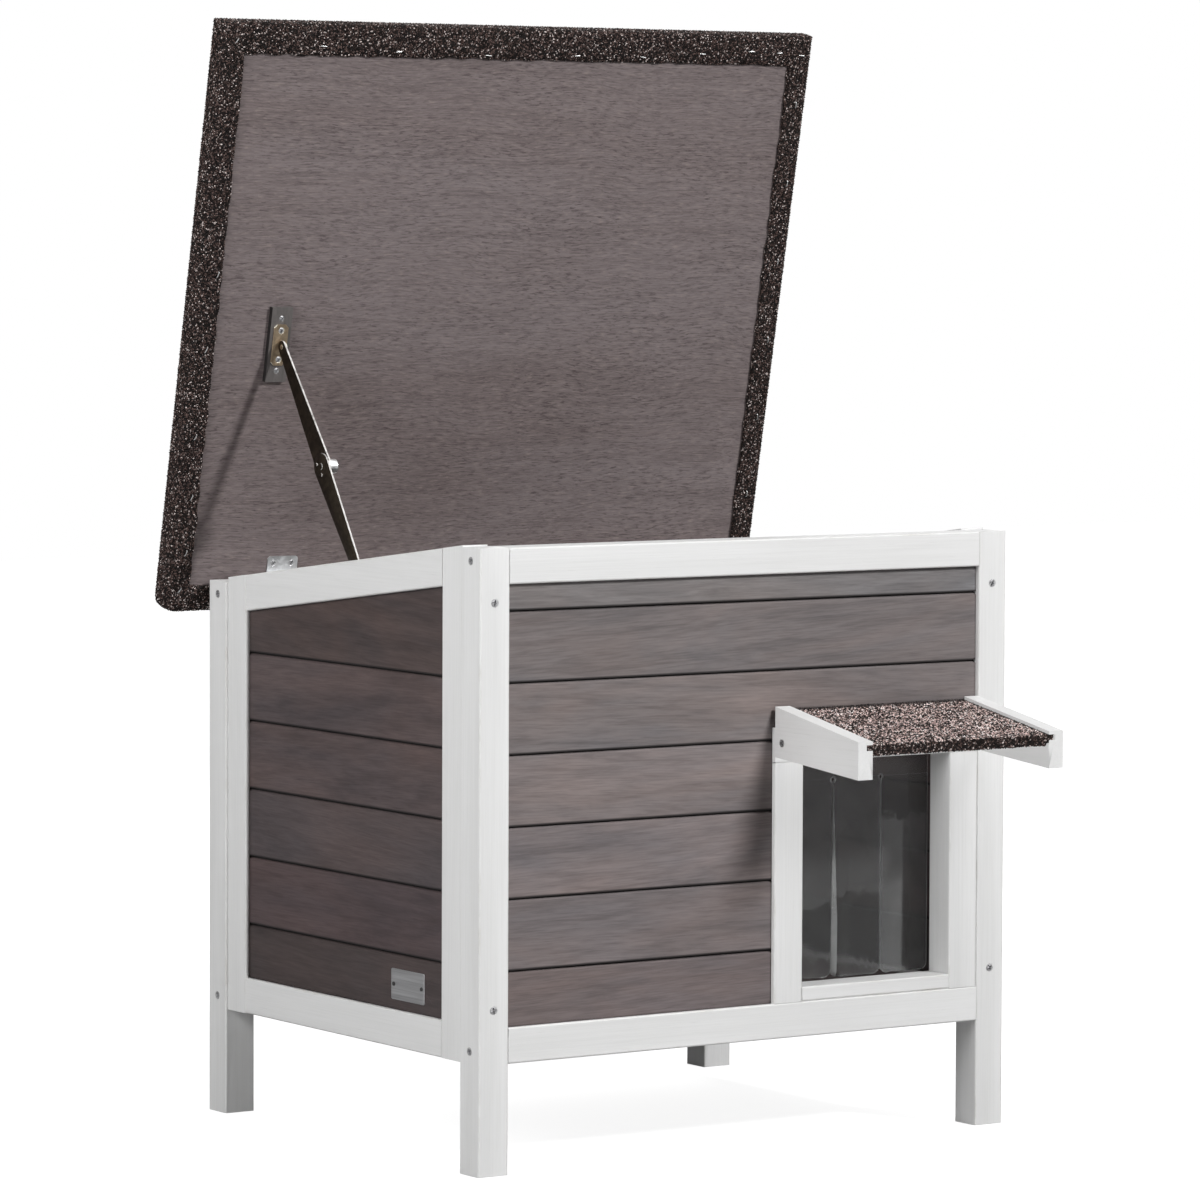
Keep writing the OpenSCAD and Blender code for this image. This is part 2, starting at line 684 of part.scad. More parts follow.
module flap_tongue(i) color(CLEAR) place() difference() {
  r = flap_corner_r;
  h = bend_z - flap_foot_z;
  translate([flap_x0 + i * (tongue_w + flap_slit), flap_y0, flap_foot_z]) {
    translate([0, flap_t, 0]) rotate([90, 0, 0]) linear_extrude(flap_t) {
      translate([r, 0]) square([tongue_w - 2 * r, h]);
      translate([0, r]) square([tongue_w, h - r]);
      for (x = [r, tongue_w - r]) translate([x, r]) circle(r);
    }
    translate([0, flap_t / 2, h]) rotate([0, 90, 0]) cylinder(d = flap_t, h = tongue_w);
  }
  slit_holes();
}
module flap_tongue_left() flap_tongue(0);
module flap_tongue_middle() flap_tongue(1);
module flap_tongue_right() flap_tongue(2);

// Lid
module lid_area(inset) {
  x0 = lid_x0 + inset;
  x1 = lid_x1 - inset;
  y0 = inset - lid_reach;
  y1 = lid_tail - inset;
  c = lid_corner - (2 - sqrt(2)) * inset;
  polygon([[x0, y0], [x1, y0], [x1, y1 - c], [x1 - c, y1], [x0 + c, y1], [x0, y1 - c]]);
}
module roof_board() color(PLY) place() on_lid() difference() {
  translate([0, 0, ply_z]) linear_extrude(roof_board_t) lid_area(felt_t);
  at_lid_leaf_screws() small_hole(leaf_screw_l);
  at_lid_block_screws() small_hole(block_screw_l);
  at_lid_bracket_screws() small_hole(bracket_screw_l);
}
module roof_felt() color(FELT) place() on_lid() difference() {
  translate([0, 0, ply_z - felt_t]) linear_extrude(roof_board_t + 2 * felt_t) lid_area(0);
  translate([0, 0, ply_z]) linear_extrude(roof_board_t) lid_area(felt_t);
  translate([lid_x0 + felt_return, felt_front - lid_reach, ply_z - felt_t - eps])
    cube([lid_x1 - lid_x0 - 2 * felt_return, lid_reach + lid_tail - felt_front - felt_return, felt_t + 2 * eps]);
}

// Hinges: the house leaf holds the outer knuckles and the pin, the lid leaf the middle one
knuckle_w = (hinge_w - 2 * knuckle_gap) / 3;
function hinge_centres() = [hinge_x, house_w - hinge_x];
module at_leaf_screws() for (c = hinge_centres(), s = [-1, 1])
  translate([c + s * leaf_screw_gap / 2, -leaf_screw_s, 0]) children();
module at_lid_leaf_screws() at_leaf_screws() translate([0, 0, ply_z - leaf_t]) rotate([180, 0, 0]) children();
module at_house_leaf_screws() translate([0, axis_y, rear_rail_top + leaf_t]) at_leaf_screws() children();
module leaf(z) translate([-hinge_w / 2, -leaf_l, z]) linear_extrude(leaf_t) {
  r = leaf_corner_r;
  translate([0, r]) square([hinge_w, leaf_l - r]);
  translate([r, 0]) square([hinge_w - 2 * r, leaf_l]);
  for (x = [r, hinge_w - r]) translate([x, r]) circle(r);
}
module knuckle(x, w) translate([x, 0, 0]) rotate([0, 90, 0]) cylinder(r = barrel_r, h = w);
module knuckle_room(x, w) translate([x, -barrel_r - knuckle_gap, -barrel_r - eps])
  cube([w, 2 * (barrel_r + eps), 2 * (barrel_r + eps)]);
module pin_bore(play) translate([-hinge_w, 0, 0]) rotate([0, 90, 0])
  cylinder(d = pin_d + 2 * play, h = 2 * hinge_w);
module hinge_lid_leaves() color(ZINC) place() on_lid() difference() {
  for (c = hinge_centres()) translate([c, 0, 0]) difference() {
    union() {
      difference() {
        leaf(ply_z - leaf_t);
        for (x = [-hinge_w / 2 - eps, knuckle_w / 2]) knuckle_room(x, knuckle_w + knuckle_gap + eps);
      }
      knuckle(-knuckle_w / 2, knuckle_w);
    }
    pin_bore(run_play);
  }
  at_lid_leaf_screws() small_hole(leaf_screw_l);
}
module hinge_house_leaves() color(ZINC) place() difference() {
  translate([0, axis_y, axis_z]) for (c = hinge_centres()) translate([c, 0, 0]) difference() {
    union() {
      difference() {
        leaf(-barrel_r);
        knuckle_room(-knuckle_w / 2 - knuckle_gap, knuckle_w + 2 * knuckle_gap);
      }
      for (x = [-hinge_w / 2, hinge_w / 2 - knuckle_w]) knuckle(x, knuckle_w);
    }
    pin_bore(run_play / 2);
  }
  at_house_leaf_screws() small_hole(leaf_screw_l);
}
module hinge_pins() color(ZINC) place() translate([0, axis_y, axis_z]) for (c = hinge_centres())
  translate([c - hinge_w / 2, 0, 0]) rotate([0, 90, 0]) cylinder(d = pin_d, h = hinge_w);

// Stay
module at_pivot(y, z, x) translate([x, y, z]) rotate([0, 90, 0]) children();
module at_lid_block_screws() for (s = [-1, 1])
  translate([lid_block_x + block_w / 2, s * (block_l / 2 - block_screw_in) - stay_s, ply_z - lid_block_t])
    rotate([180, 0, 0]) children();
module at_lid_bracket_screws() for (s = [-1, 1]) {
  along = s * (bracket_l / 2 - bracket_screw_in) - stay_s;
  translate([lid_block_x + block_w / 2, along, lid_bracket_z]) rotate([180, 0, 0]) children();
}
module stay_lid_block() color(STAIN) place() on_lid() difference() {
  translate([lid_block_x, -stay_s - block_l / 2, ply_z - lid_block_t]) cube([block_w, block_l, lid_block_t]);
  at_lid_block_screws() small_hole(block_screw_l);
  at_lid_bracket_screws() small_hole(bracket_screw_l);
}
ear_r = pivot_d;
module clipped_area(w, l) {
  c = bracket_clip;
  polygon([[c, 0], [w - c, 0], [w, c], [w, l - c], [w - c, l], [c, l], [0, l - c], [0, c]]);
}
module stay_lid_bracket() color(BRASS) place() on_lid() difference() {
  union() {
    translate([lid_block_x + (block_w - bracket_w) / 2, -stay_s - bracket_l / 2, lid_bracket_z])
      linear_extrude(bracket_t) clipped_area(bracket_w, bracket_l);
    translate([ear_x, -stay_s - ear_r, lid_pivot_z])
      cube([bracket_t, 2 * ear_r, lid_bracket_z - lid_pivot_z + bracket_t / 2]);
    at_pivot(-stay_s, lid_pivot_z, ear_x) cylinder(r = ear_r, h = bracket_t);
    at_pivot(-stay_s, lid_pivot_z, upper_arm_x - stay_gap / 2)
      cylinder(d = pivot_d, h = ear_x - upper_arm_x + stay_gap);
  }
  at_lid_bracket_screws() small_hole(bracket_screw_l);
}
module arm_outline(l) {
  r0 = arm_end_w / 2;
  r1 = arm_mid_w / 2;
  circle(r0);
  translate([l, 0]) circle(r1);
  polygon([[0, -r0], [l, -r1], [l, r1], [0, r0]]);
}
module arm_plate(bored) along_x() linear_extrude(arm_t) difference() {
  arm_outline(arm_l);
  circle(d = pivot_d + 2 * run_play);
  if (bored) translate([arm_l, 0]) circle(d = pivot_d);
}
module stay_upper_arm() color(BRASS) place()
  translate([upper_arm_x, upper_y, upper_z]) rotate([stay_tilt + 180, 0, 0]) arm_plate(true);
module at_lower_arm() translate([lower_arm_x, lower_y, lower_z]) rotate([stay_tilt, 0, 0]) children();
module stay_lower_arm() color(BRASS) place() at_lower_arm() {
  arm_plate(false);
  for (p = [[0, 0], [6, -6], [-8, -4]]) at_pivot(arm_l + p[0], p[1], -rivet_h)
    cylinder(d = p[0] == 0 ? rivet_d : rivet_d / 2, h = rivet_h);
}
module stay_knob() color(ZINC) place() {
  mid_pivot_y = (upper_y + lower_y) / 2;
  mid_pivot_z = (upper_z + lower_z) / 2;
  at_pivot(mid_pivot_y, mid_pivot_z, upper_arm_x) cylinder(d = pivot_d - 2 * screw_play, h = arm_t);
  at_pivot(mid_pivot_y, mid_pivot_z, upper_arm_x + arm_t) cylinder(d = knob_d, h = knob_l);
}
module at_side_block_screws() for (s = [-1, 1])
  translate([side_plate_x, lower_y + s * (block_l / 2 - block_screw_in), lower_z])
    rotate([0, 90, 0]) children();
module at_side_bracket_screws() for (s = [-1, 1])
  translate([side_plate_x + bracket_t, lower_y + s * (bracket_l / 2 - bracket_screw_in), lower_z])
    rotate([0, 90, 0]) children();
module stay_side_block() color(STAIN) place() difference() {
  translate([panel_in_x, lower_y - block_l / 2, lower_z - block_w / 2])
    cube([side_block_t, block_l, block_w]);
  at_side_block_screws() small_hole(side_block_screw_l);
  at_side_bracket_screws() small_hole(bracket_screw_l);
}
module stay_side_bracket() color(BRASS) place() difference() {
  union() {
    translate([side_plate_x, lower_y - bracket_l / 2, lower_z - bracket_w / 2])
      along_x() linear_extrude(bracket_t) clipped_area(bracket_l, bracket_w);
    at_pivot(lower_y, lower_z, side_plate_x)
      cylinder(d = pivot_d, h = upper_arm_x - stay_gap / 2 - side_plate_x);
  }
  at_side_bracket_screws() small_hole(bracket_screw_l);
}

// Fasteners
module frame_screws() color(ZINC) place() {
  for (right = [0, 1], rear = [0, 1]) {
    at_rail_screws(right, rear) frame_screw();
    at_stile_screws(right, rear) frame_screw();
  }
  for (right = [0, 1]) at_cheek_screw(right) frame_screw();
}
module lid_screws() color(ZINC) place() on_lid() {
  at_lid_leaf_screws() small_screw(leaf_screw_l);
  at_lid_block_screws() small_screw(block_screw_l);
  at_lid_bracket_screws() small_screw(bracket_screw_l);
}
module house_screws() color(ZINC) place() {
  at_house_leaf_screws() small_screw(leaf_screw_l);
  at_side_block_screws() small_screw(side_block_screw_l);
  at_side_bracket_screws() small_screw(bracket_screw_l);
}
module flap_screws() color(ZINC) place() at_flap_screws() {
  translate([0, 0, -flap_screw_l]) cylinder(d = small_d, h = flap_screw_l);
  cylinder(d = pan_head, h = pan_h);
}

// Blank metal plate on the lowest left board
plate_y0 = post + plate_y;
plate_z0 = side_rail_top + plate_z;
module at_plate_pins() for (y = [plate_y0 + plate_pin_in, plate_y0 + plate_l - plate_pin_in])
  translate([board_x, y, plate_z0 + plate_h / 2]) rotate([0, 90, 0]) children();
module side_plate() color(ZINC) place() difference() {
  translate([board_x - plate_t, plate_y0, plate_z0]) along_x() linear_extrude(plate_t)
    rounded_rect(plate_l, plate_h, plate_corner_r);
  at_plate_pins() cylinder(d = plate_pin_d + 2 * screw_play, h = 4 * plate_t, center = true);
}
module plate_pins() color(ZINC) place() at_plate_pins() {
  translate([0, 0, -plate_t]) cylinder(d = plate_pin_d, h = plate_t + plate_pin_l);
  translate([0, 0, -2 * plate_t]) cylinder(d = 2 * plate_pin_d, h = plate_t);
}

post_front_left();
post_front_right();
post_rear_left();
post_rear_right();
front_top_rail();
front_bottom_rail();
front_board_1();
front_board_2();
front_board_3();
front_board_4();
front_board_5();
front_board_6();
front_board_7();
door_stile();
door_jamb();
door_head();
door_sill();
wall_cleats();
left_top_rail();
left_bottom_rail();
left_front_stile();
left_rear_stile();
left_boards();
right_top_rail();
right_bottom_rail();
right_front_stile();
right_rear_stile();
right_boards();
rear_top_rail();
rear_bottom_rail();
rear_boards();
floor_panel();
floor_battens();
awning_cheek_left();
awning_cheek_right();
awning_board();
awning_felt();
awning_batten_bar();
flap_band();
flap_tongue_left();
flap_tongue_middle();
flap_tongue_right();
roof_board();
roof_felt();
hinge_lid_leaves();
hinge_house_leaves();
hinge_pins();
stay_lid_block();
stay_lid_bracket();
stay_upper_arm();
stay_lower_arm();
stay_knob();
stay_side_block();
stay_side_bracket();
frame_screws();
lid_screws();
house_screws();
flap_screws();
side_plate();
plate_pins();
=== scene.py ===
"""Outdoor cat house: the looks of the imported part, in metres, in the part's own frame."""
import json
import math
import random

import bmesh
import bpy
from mathutils import Matrix, Vector

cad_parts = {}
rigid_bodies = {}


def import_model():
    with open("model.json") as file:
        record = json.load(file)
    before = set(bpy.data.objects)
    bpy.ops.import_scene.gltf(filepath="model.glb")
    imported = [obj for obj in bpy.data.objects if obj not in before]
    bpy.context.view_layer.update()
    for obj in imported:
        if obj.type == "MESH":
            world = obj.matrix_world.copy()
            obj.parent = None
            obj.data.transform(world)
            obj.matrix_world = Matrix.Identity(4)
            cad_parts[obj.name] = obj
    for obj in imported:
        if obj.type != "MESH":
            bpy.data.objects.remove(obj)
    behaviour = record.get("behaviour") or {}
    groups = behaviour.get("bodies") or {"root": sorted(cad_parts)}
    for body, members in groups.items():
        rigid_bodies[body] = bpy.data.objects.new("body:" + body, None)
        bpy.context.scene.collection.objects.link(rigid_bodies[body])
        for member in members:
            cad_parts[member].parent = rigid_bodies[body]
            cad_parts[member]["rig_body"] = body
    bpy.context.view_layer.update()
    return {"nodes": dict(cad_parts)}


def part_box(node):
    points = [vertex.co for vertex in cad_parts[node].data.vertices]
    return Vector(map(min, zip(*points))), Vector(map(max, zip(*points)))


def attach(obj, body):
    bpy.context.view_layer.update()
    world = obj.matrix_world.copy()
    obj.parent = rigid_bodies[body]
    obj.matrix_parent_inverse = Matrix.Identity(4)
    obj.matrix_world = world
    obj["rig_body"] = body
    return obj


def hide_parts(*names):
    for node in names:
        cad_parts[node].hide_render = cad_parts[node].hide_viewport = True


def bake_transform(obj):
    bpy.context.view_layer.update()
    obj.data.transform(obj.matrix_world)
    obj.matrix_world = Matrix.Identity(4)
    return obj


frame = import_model()

# Studio: the camera stands where the photograph was taken, a soft lamp lights the house from the front
# right and above, and a white room and a pale floor fill in the shade. None of it is part of the house.
scene = bpy.context.scene
scene.view_settings.view_transform = "Standard"
eye = Vector((-3.3937, -4.95773, 0.9438))
yaw, pitch, roll = 0.5942, 0.0517, 0.0040
forward = Vector((math.sin(yaw) * math.cos(pitch), math.cos(yaw) * math.cos(pitch), -math.sin(pitch)))
level = Vector((math.cos(yaw), -math.sin(yaw), 0.0))
plumb = level.cross(forward)
across = level * math.cos(roll) + plumb * math.sin(roll)
above = plumb * math.cos(roll) - level * math.sin(roll)
camera = bpy.data.objects.new("camera", bpy.data.cameras.new("camera"))
camera.data.lens = 174.093
camera.data.sensor_width = 36.0
camera.data.shift_y = -0.06983
camera.matrix_world = Matrix.Translation(eye) @ Matrix((across, above, -forward)).transposed().to_4x4()
scene.collection.objects.link(camera)
scene.camera = camera


def softbox(name, toward, distance, size, power):
    lamp = bpy.data.lights.new(name, "AREA")
    lamp.shape = "DISK"
    lamp.size = size
    lamp.energy = power
    stand = bpy.data.objects.new(name, lamp)
    away = Vector(toward).normalized()
    stand.location = Vector((0.0, 0.0, 0.5)) + away * distance
    stand.rotation_euler = away.to_track_quat("Z", "Y").to_euler()
    scene.collection.objects.link(stand)
    return stand


key_lamp = softbox("key_lamp", (0.36, -0.80, 0.51), 6.0, 0.6, 280.0)
boards_lamp = softbox("boards_lamp", (0.29, -1.0, 0.80), 6.0, 1.5, 379.0)
doorway_lamp = softbox("doorway_lamp", (0.36, -0.80, 0.51), 6.0, 0.6, 215.0)
doorway_shade_lamp = softbox("doorway_shade_lamp", (0.30, -1.0, 0.78), 6.0, 2.6, 70.0)
left_lamp = softbox("left_lamp", (-1.0, -0.12, 0.5), 3.0, 1.6, 31.0)
front_left_lamp = softbox("front_left_lamp", (-1.0, -0.4, 0.35), 3.0, 1.6, 29.0)
top_lamp = softbox("top_lamp", (0.0, -0.25, 1.0), 3.5, 2.0, 26.0)
softbox("rear_lamp", (0.45, 1.0, 0.5), 3.5, 1.8, 40.0)


class Wiring:
    """Nodes of one material or one repeat pattern, added and joined in order."""

    def node(self, kind, inputs, **settings):
        made = self.tree.nodes.new(kind)
        for key, value in settings.items():
            setattr(made, key, value)
        for key, value in inputs.items():
            self.feed(made.inputs[key], value)
        return made

    def feed(self, socket, value):
        if isinstance(value, bpy.types.NodeSocket):
            self.tree.links.new(value, socket)
        else:
            socket.default_value = value


class Finish(Wiring):
    """One coat or bare material, patterned on the piece's own coordinates."""

    def __init__(self, name):
        self.material = bpy.data.materials.new(name)
        self.material.use_nodes = True
        self.tree = self.material.node_tree
        self.shader = self.tree.nodes["Principled BSDF"]
        self.place = self.node("ShaderNodeTexCoord", {}).outputs["Object"]

    def stretch(self, scale, shift=(0.0, 0.0, 0.0), source=None):
        inputs = {"Vector": source or self.place, "Location": shift, "Scale": scale}
        return self.node("ShaderNodeMapping", inputs).outputs["Vector"]

    def noise(self, vector, scale=1.0, detail=4.0, roughness=0.55, distortion=0.0):
        inputs = {"Vector": vector, "Scale": scale, "Detail": detail}
        inputs.update({"Roughness": roughness, "Distortion": distortion})
        return self.node("ShaderNodeTexNoise", inputs).outputs[0]

    def ramp(self, value, *stops, steps="LINEAR"):
        made = self.node("ShaderNodeValToRGB", {"Fac": value})
        made.color_ramp.interpolation = steps
        while len(made.color_ramp.elements) < len(stops):
            made.color_ramp.elements.new(1.0)
        for element, (position, colour) in zip(made.color_ramp.elements, stops):
            element.position = position
            element.color = (*colour, 1.0)
        return made.outputs["Color"]

    def span(self, value, low, high, start=0.0, end=1.0):
        inputs = {"Value": value, "From Min": low, "From Max": high, "To Min": start, "To Max": end}
        return self.node("ShaderNodeMapRange", inputs).outputs["Result"]

    def sum(self, operation, a, b=0.0, c=0.0):
        return self.node("ShaderNodeMath", {0: a, 1: b, 2: c}, operation=operation).outputs[0]

    def mix(self, share, a, b, blend="MIX"):
        made = self.node("ShaderNodeMix", {0: share, 6: a, 7: b}, data_type="RGBA", blend_type=blend)
        return made.outputs[2]

    def mark(self, name):
        return self.node("ShaderNodeAttribute", {}, attribute_name=name).outputs["Fac"]

    def bump(self, height, depth, strength=0.5, under=None):
        inputs = {"Height": height, "Distance": depth, "Strength": strength}
        if under is not None:
            inputs["Normal"] = under
        return self.node("ShaderNodeBump", inputs).outputs["Normal"]

    def coat(self, **inputs):
        for key, value in inputs.items():
            self.feed(self.shader.inputs[key.replace("_", " ")], value)
        return self.material


room = bpy.data.worlds.new("white_room")
scene.world = room
room.use_nodes = True
room_nodes = Wiring()
room_nodes.tree = room.node_tree
ray = room_nodes.node("ShaderNodeLightPath", {}).outputs
shine = room_nodes.node("ShaderNodeMapRange", {"Value": ray["Is Glossy Ray"], "To Min": 0.02, "To Max": 0.5})
glow = room_nodes.node("ShaderNodeMath", {0: ray["Is Camera Ray"], 1: shine.outputs["Result"]}, operation="MAXIMUM")
room_nodes.feed(room.node_tree.nodes["Background"].inputs["Color"], (1.0, 1.0, 1.0, 1.0))
room_nodes.feed(room.node_tree.nodes["Background"].inputs["Strength"], glow.outputs["Value"])

paper = Finish("pale_floor")
paper_tone = paper.ramp(paper.noise(paper.place, 3.0), (0.3, (0.36, 0.36, 0.36)), (0.7, (0.38, 0.38, 0.38)))
floor_mesh = bpy.data.meshes.new("floor")
floor_mesh.from_pydata([(-9, -9, 0), (9, -9, 0), (9, 9, 0), (-9, 9, 0)], [], [(0, 1, 2, 3)])
paper_seen = paper.node("ShaderNodeLightPath", {}).outputs["Is Camera Ray"]
paper_far = paper.node("ShaderNodeVectorMath", {0: paper.place}, operation="LENGTH").outputs["Value"]
paper_glow = paper.sum("MULTIPLY", paper_seen, paper.span(paper_far, 0.6, 1.8, 0.9, 1.0))
paper_coat = paper.coat(Base_Color=paper_tone, Roughness=0.9, Emission_Color=(1.0, 1.0, 1.0, 1.0),
                        Emission_Strength=paper_glow)
floor_mesh.materials.append(paper_coat)
floor = bpy.data.objects.new("floor", floor_mesh)
floor.location.z = -0.0005
scene.collection.objects.link(floor)

# Posts: four legs of planed 35 mm pine with eased edges, in white water paint.
# The coat is thin: grain and pores show through, and the edges are rubbed.


def white_paint(axis):
    paint = Finish("white_paint_" + axis)
    along = "xyz".index(axis)
    fine = [430.0] * 3
    fine[along] = 8.0
    broad = [46.0] * 3
    broad[along] = 2.4
    pore = [950.0] * 3
    pore[along] = 38.0
    grain = paint.noise(paint.stretch(fine), detail=5.0, roughness=0.65)
    cloud = paint.noise(paint.stretch(broad), detail=4.0, distortion=0.4)
    pores = paint.span(paint.noise(paint.stretch(pore), detail=2.0), 0.64, 0.74)
    knocks = paint.noise(paint.stretch([22.0 if i == along else 60.0 for i in range(3)]), detail=5.0, roughness=0.7)
    tone = paint.ramp(grain, (0.28, (0.762, 0.762, 0.758)), (0.56, (0.80, 0.80, 0.798)))
    tone = paint.mix(1.0, tone, paint.ramp(cloud, (0.3, (0.95, 0.95, 0.947)), (0.62, (1.0, 1.0, 1.0))), "MULTIPLY")
    tone = paint.mix(paint.sum("MULTIPLY", pores, 0.12), tone, (0.42, 0.41, 0.40, 1.0))
    rubbed = paint.sum("MULTIPLY", paint.mark("arris"), paint.span(knocks, 0.48, 0.70, 0.05, 0.5))
    tone = paint.mix(rubbed, tone, (0.56, 0.54, 0.50, 1.0))
    height = paint.sum("MULTIPLY_ADD", grain, 0.6, paint.sum("MULTIPLY", cloud, 0.5))
    height = paint.sum("SUBTRACT", height, paint.sum("MULTIPLY", pores, 0.3))
    skin = paint.bump(height, 0.0006, 0.35)
    dull = paint.span(cloud, 0.25, 0.75, 0.42, 0.6)
    return paint.coat(Base_Color=tone, Roughness=dull, Normal=skin)


def settle(piece):
    """Turns a piece's modifiers into a plain mesh."""
    bpy.context.view_layer.update()
    graph = bpy.context.evaluated_depsgraph_get()
    plain = bpy.data.meshes.new_from_object(
        piece.evaluated_get(graph), preserve_all_data_layers=True, depsgraph=graph)
    piece.modifiers.clear()
    piece.data = plain


def body_of(node):
    return frame["nodes"][node]["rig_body"]


def dress(node, coat, ending, sharp=32.0, small=0.012):
    """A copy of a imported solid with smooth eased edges, which are marked as arrises for its coat."""
    mesh = frame["nodes"][node].data.copy()
    form = bmesh.new()
    form.from_mesh(mesh)
    bmesh.ops.remove_doubles(form, verts=form.verts, dist=2e-6)
    form.normal_update()
    areas = {}
    for face in form.faces:
        key = tuple(round(value, 2) for value in face.normal)
        areas[key] = areas.get(key, 0.0) + face.calc_area()
    whole = sum(areas.values())
    arris = form.faces.layers.float.new("arris")
    for face in form.faces:
        key = tuple(round(value, 2) for value in face.normal)
        face[arris] = 1.0 if areas[key] < small * whole else 0.0
        face.smooth = True
    form.to_mesh(mesh)
    form.free()
    mesh.materials.clear()
    mesh.materials.append(coat)
    mesh.set_sharp_from_angle(angle=math.radians(sharp))
    piece = bpy.data.objects.new(node + "_" + ending, mesh)
    scene.collection.objects.link(piece)
    flats = piece.modifiers.new("flats", "WEIGHTED_NORMAL")
    flats.keep_sharp = True
    flats.weight = 80
    settle(piece)
    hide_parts(node)
    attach(piece, body_of(node))
    return piece


paint_x, paint_y, paint_z = white_paint("x"), white_paint("y"), white_paint("z")
for post in ("post_front_left", "post_front_right", "post_rear_left", "post_rear_right"):
    dress(post, paint_z, "painted")

# Front wall timbers: two rails screwed between the front posts, and the doorway's stile, jamb, head
# and sill in the same painted pine.
for rail in ("front_top_rail", "front_bottom_rail"):
    dress(rail, paint_x, "painted")
doorway = [dress(rail, paint_x, "painted") for rail in ("door_head", "door_sill")]
doorway += [dress(stile, paint_z, "painted") for stile in ("door_stile", "door_jamb")]

# Front boards: tongued fir boards in a grey-brown stain, laid level, each cut from another plank.
# The bevel at each joint is stained with the face; the joint itself stays dark.


def grey_stain(name, along, first_joint, board_pitch, tones):
    """The tones are the boards' own, from the lowest up; the joints lie between them."""
    steepest_grain = 0.04
    stain = Finish(name)
    parts = stain.node("ShaderNodeSeparateXYZ", {"Vector": stain.place})
    rise = stain.sum("SUBTRACT", parts.outputs["Z"], first_joint)
    top_board = len(tones) - 2.0
    board = stain.sum("MINIMUM", stain.sum("FLOOR", stain.sum("DIVIDE", rise, board_pitch)), top_board)
    stops = [(i / len(tones), colour) for i, colour in enumerate(tones)]
    pick = stain.sum("DIVIDE", stain.sum("ADD", board, 1.5), float(len(tones)))
    tone = stain.ramp(pick, *stops, steps="CONSTANT")
    plank = stain.node("ShaderNodeTexWhiteNoise", {"W": board}, noise_dimensions="1D").outputs["Color"]
    moved = stain.node("ShaderNodeVectorMath", {0: plank, "Scale": 3.0}, operation="SCALE").outputs[0]
    lean = stain.node("ShaderNodeSeparateColor", {"Color": plank}).outputs["Red"]
    lean = stain.sum("MULTIPLY_ADD", lean, 2 * steepest_grain, -steepest_grain)
    tilted = stain.sum("MULTIPLY_ADD", parts.outputs["XYZ"[along]], lean, parts.outputs["Z"])
    laid = {"X": parts.outputs["X"], "Y": parts.outputs["Y"], "Z": tilted}
    laid = stain.node("ShaderNodeCombineXYZ", laid).outputs["Vector"]
    place = stain.node("ShaderNodeVectorMath", {0: laid, 1: moved}, operation="ADD").outputs[0]

    def lines(lengthways, crossways):
        scale = [crossways] * 3
        scale[along] = lengthways
        return stain.stretch(scale, source=place)

    streak = stain.noise(lines(4.0, 22.0), detail=5.0, roughness=0.6, distortion=0.8)
    figure = stain.noise(lines(7.5, 90.0), detail=6.0, roughness=0.65, distortion=0.8)
    fibre = stain.noise(lines(34.0, 700.0), detail=3.0)
    fleck = stain.span(stain.noise(lines(26.0, 420.0), detail=2.0), 0.62, 0.74)
    patch = stain.noise(lines(3.5, 13.0), detail=3.0, distortion=0.8)
    light = stain.ramp(streak, (0.3, (0.74, 0.76, 0.78)), (0.5, (1.0, 1.0, 1.0)), (0.7, (1.17, 1.15, 1.14)))
    tone = stain.mix(1.0, tone, light, "MULTIPLY")
    warm = stain.ramp(patch, (0.32, (0.90, 0.95, 0.99)), (0.5, (1.0, 1.0, 1.0)), (0.68, (1.09, 1.04, 1.01)))
    tone = stain.mix(1.0, tone, warm, "MULTIPLY")
    shadow = stain.mix(1.0, tone, (0.45, 0.43, 0.43, 1.0), "MULTIPLY")
    tone = stain.mix(stain.span(figure, 0.46, 0.74, 0.0, 0.56), tone, shadow)
    tone = stain.mix(stain.span(fibre, 0.4, 0.75, 0.0, 0.5), tone, shadow)
    speckled = stain.sum("MULTIPLY", fleck, stain.span(patch, 0.44, 0.34, 0.0, 0.6))
    tone = stain.mix(speckled, tone, shadow)
    level = stain.sum("FRACT", stain.sum("ADD", stain.sum("DIVIDE", rise, board_pitch), 0.5))
    near = stain.sum("MULTIPLY", stain.sum("SUBTRACT", level, 0.5), board_pitch)
    joint_and_corner_shade = stain.sum("MULTIPLY", stain.span(near, 0.0022, 0.0008), stain.span(near, -0.0018, -0.0012))
    joint_and_corner_shade = stain.sum("MULTIPLY", joint_and_corner_shade, stain.sum("LESS_THAN", rise, (top_board + 0.5) * board_pitch))
    # Painted shade: an ambient-occlusion node darkens the stain almost to black in corners and recesses, as beside the
    # stile and under the rails, on top of the boards' dark joint lines.
    corner = stain.node("ShaderNodeAmbientOcclusion", {"Distance": 0.005}, samples=6).outputs["AO"]
    joint_and_corner_shade = stain.sum("MAXIMUM", joint_and_corner_shade, stain.span(corner, 0.62, 0.42))
    tone = stain.mix(stain.sum("MULTIPLY", joint_and_corner_shade, 0.95), tone, (0.010, 0.008, 0.008, 1.0))
    height = stain.sum("MULTIPLY_ADD", fibre, 0.4, stain.sum("MULTIPLY", figure, -0.7))
    skin = stain.bump(height, 0.0006, 0.4)
    dull = stain.span(streak, 0.3, 0.7, 0.62, 0.5)
    return stain.coat(Base_Color=tone, Roughness=dull, Normal=skin, Specular_IOR_Level=0.3)


front_tones = ((0.171, 0.139, 0.136), (0.175, 0.153, 0.154), (0.204, 0.175, 0.174), (0.222, 0.188, 0.183),
               (0.196, 0.171, 0.168), (0.180, 0.160, 0.159), (0.202, 0.188, 0.187))
front_stain = grey_stain("grey_stain_front", 0, 0.2015, 0.0711, front_tones)
front_boards = [dress("front_board_%d" % number, front_stain, "stained") for number in range(1, 8)]

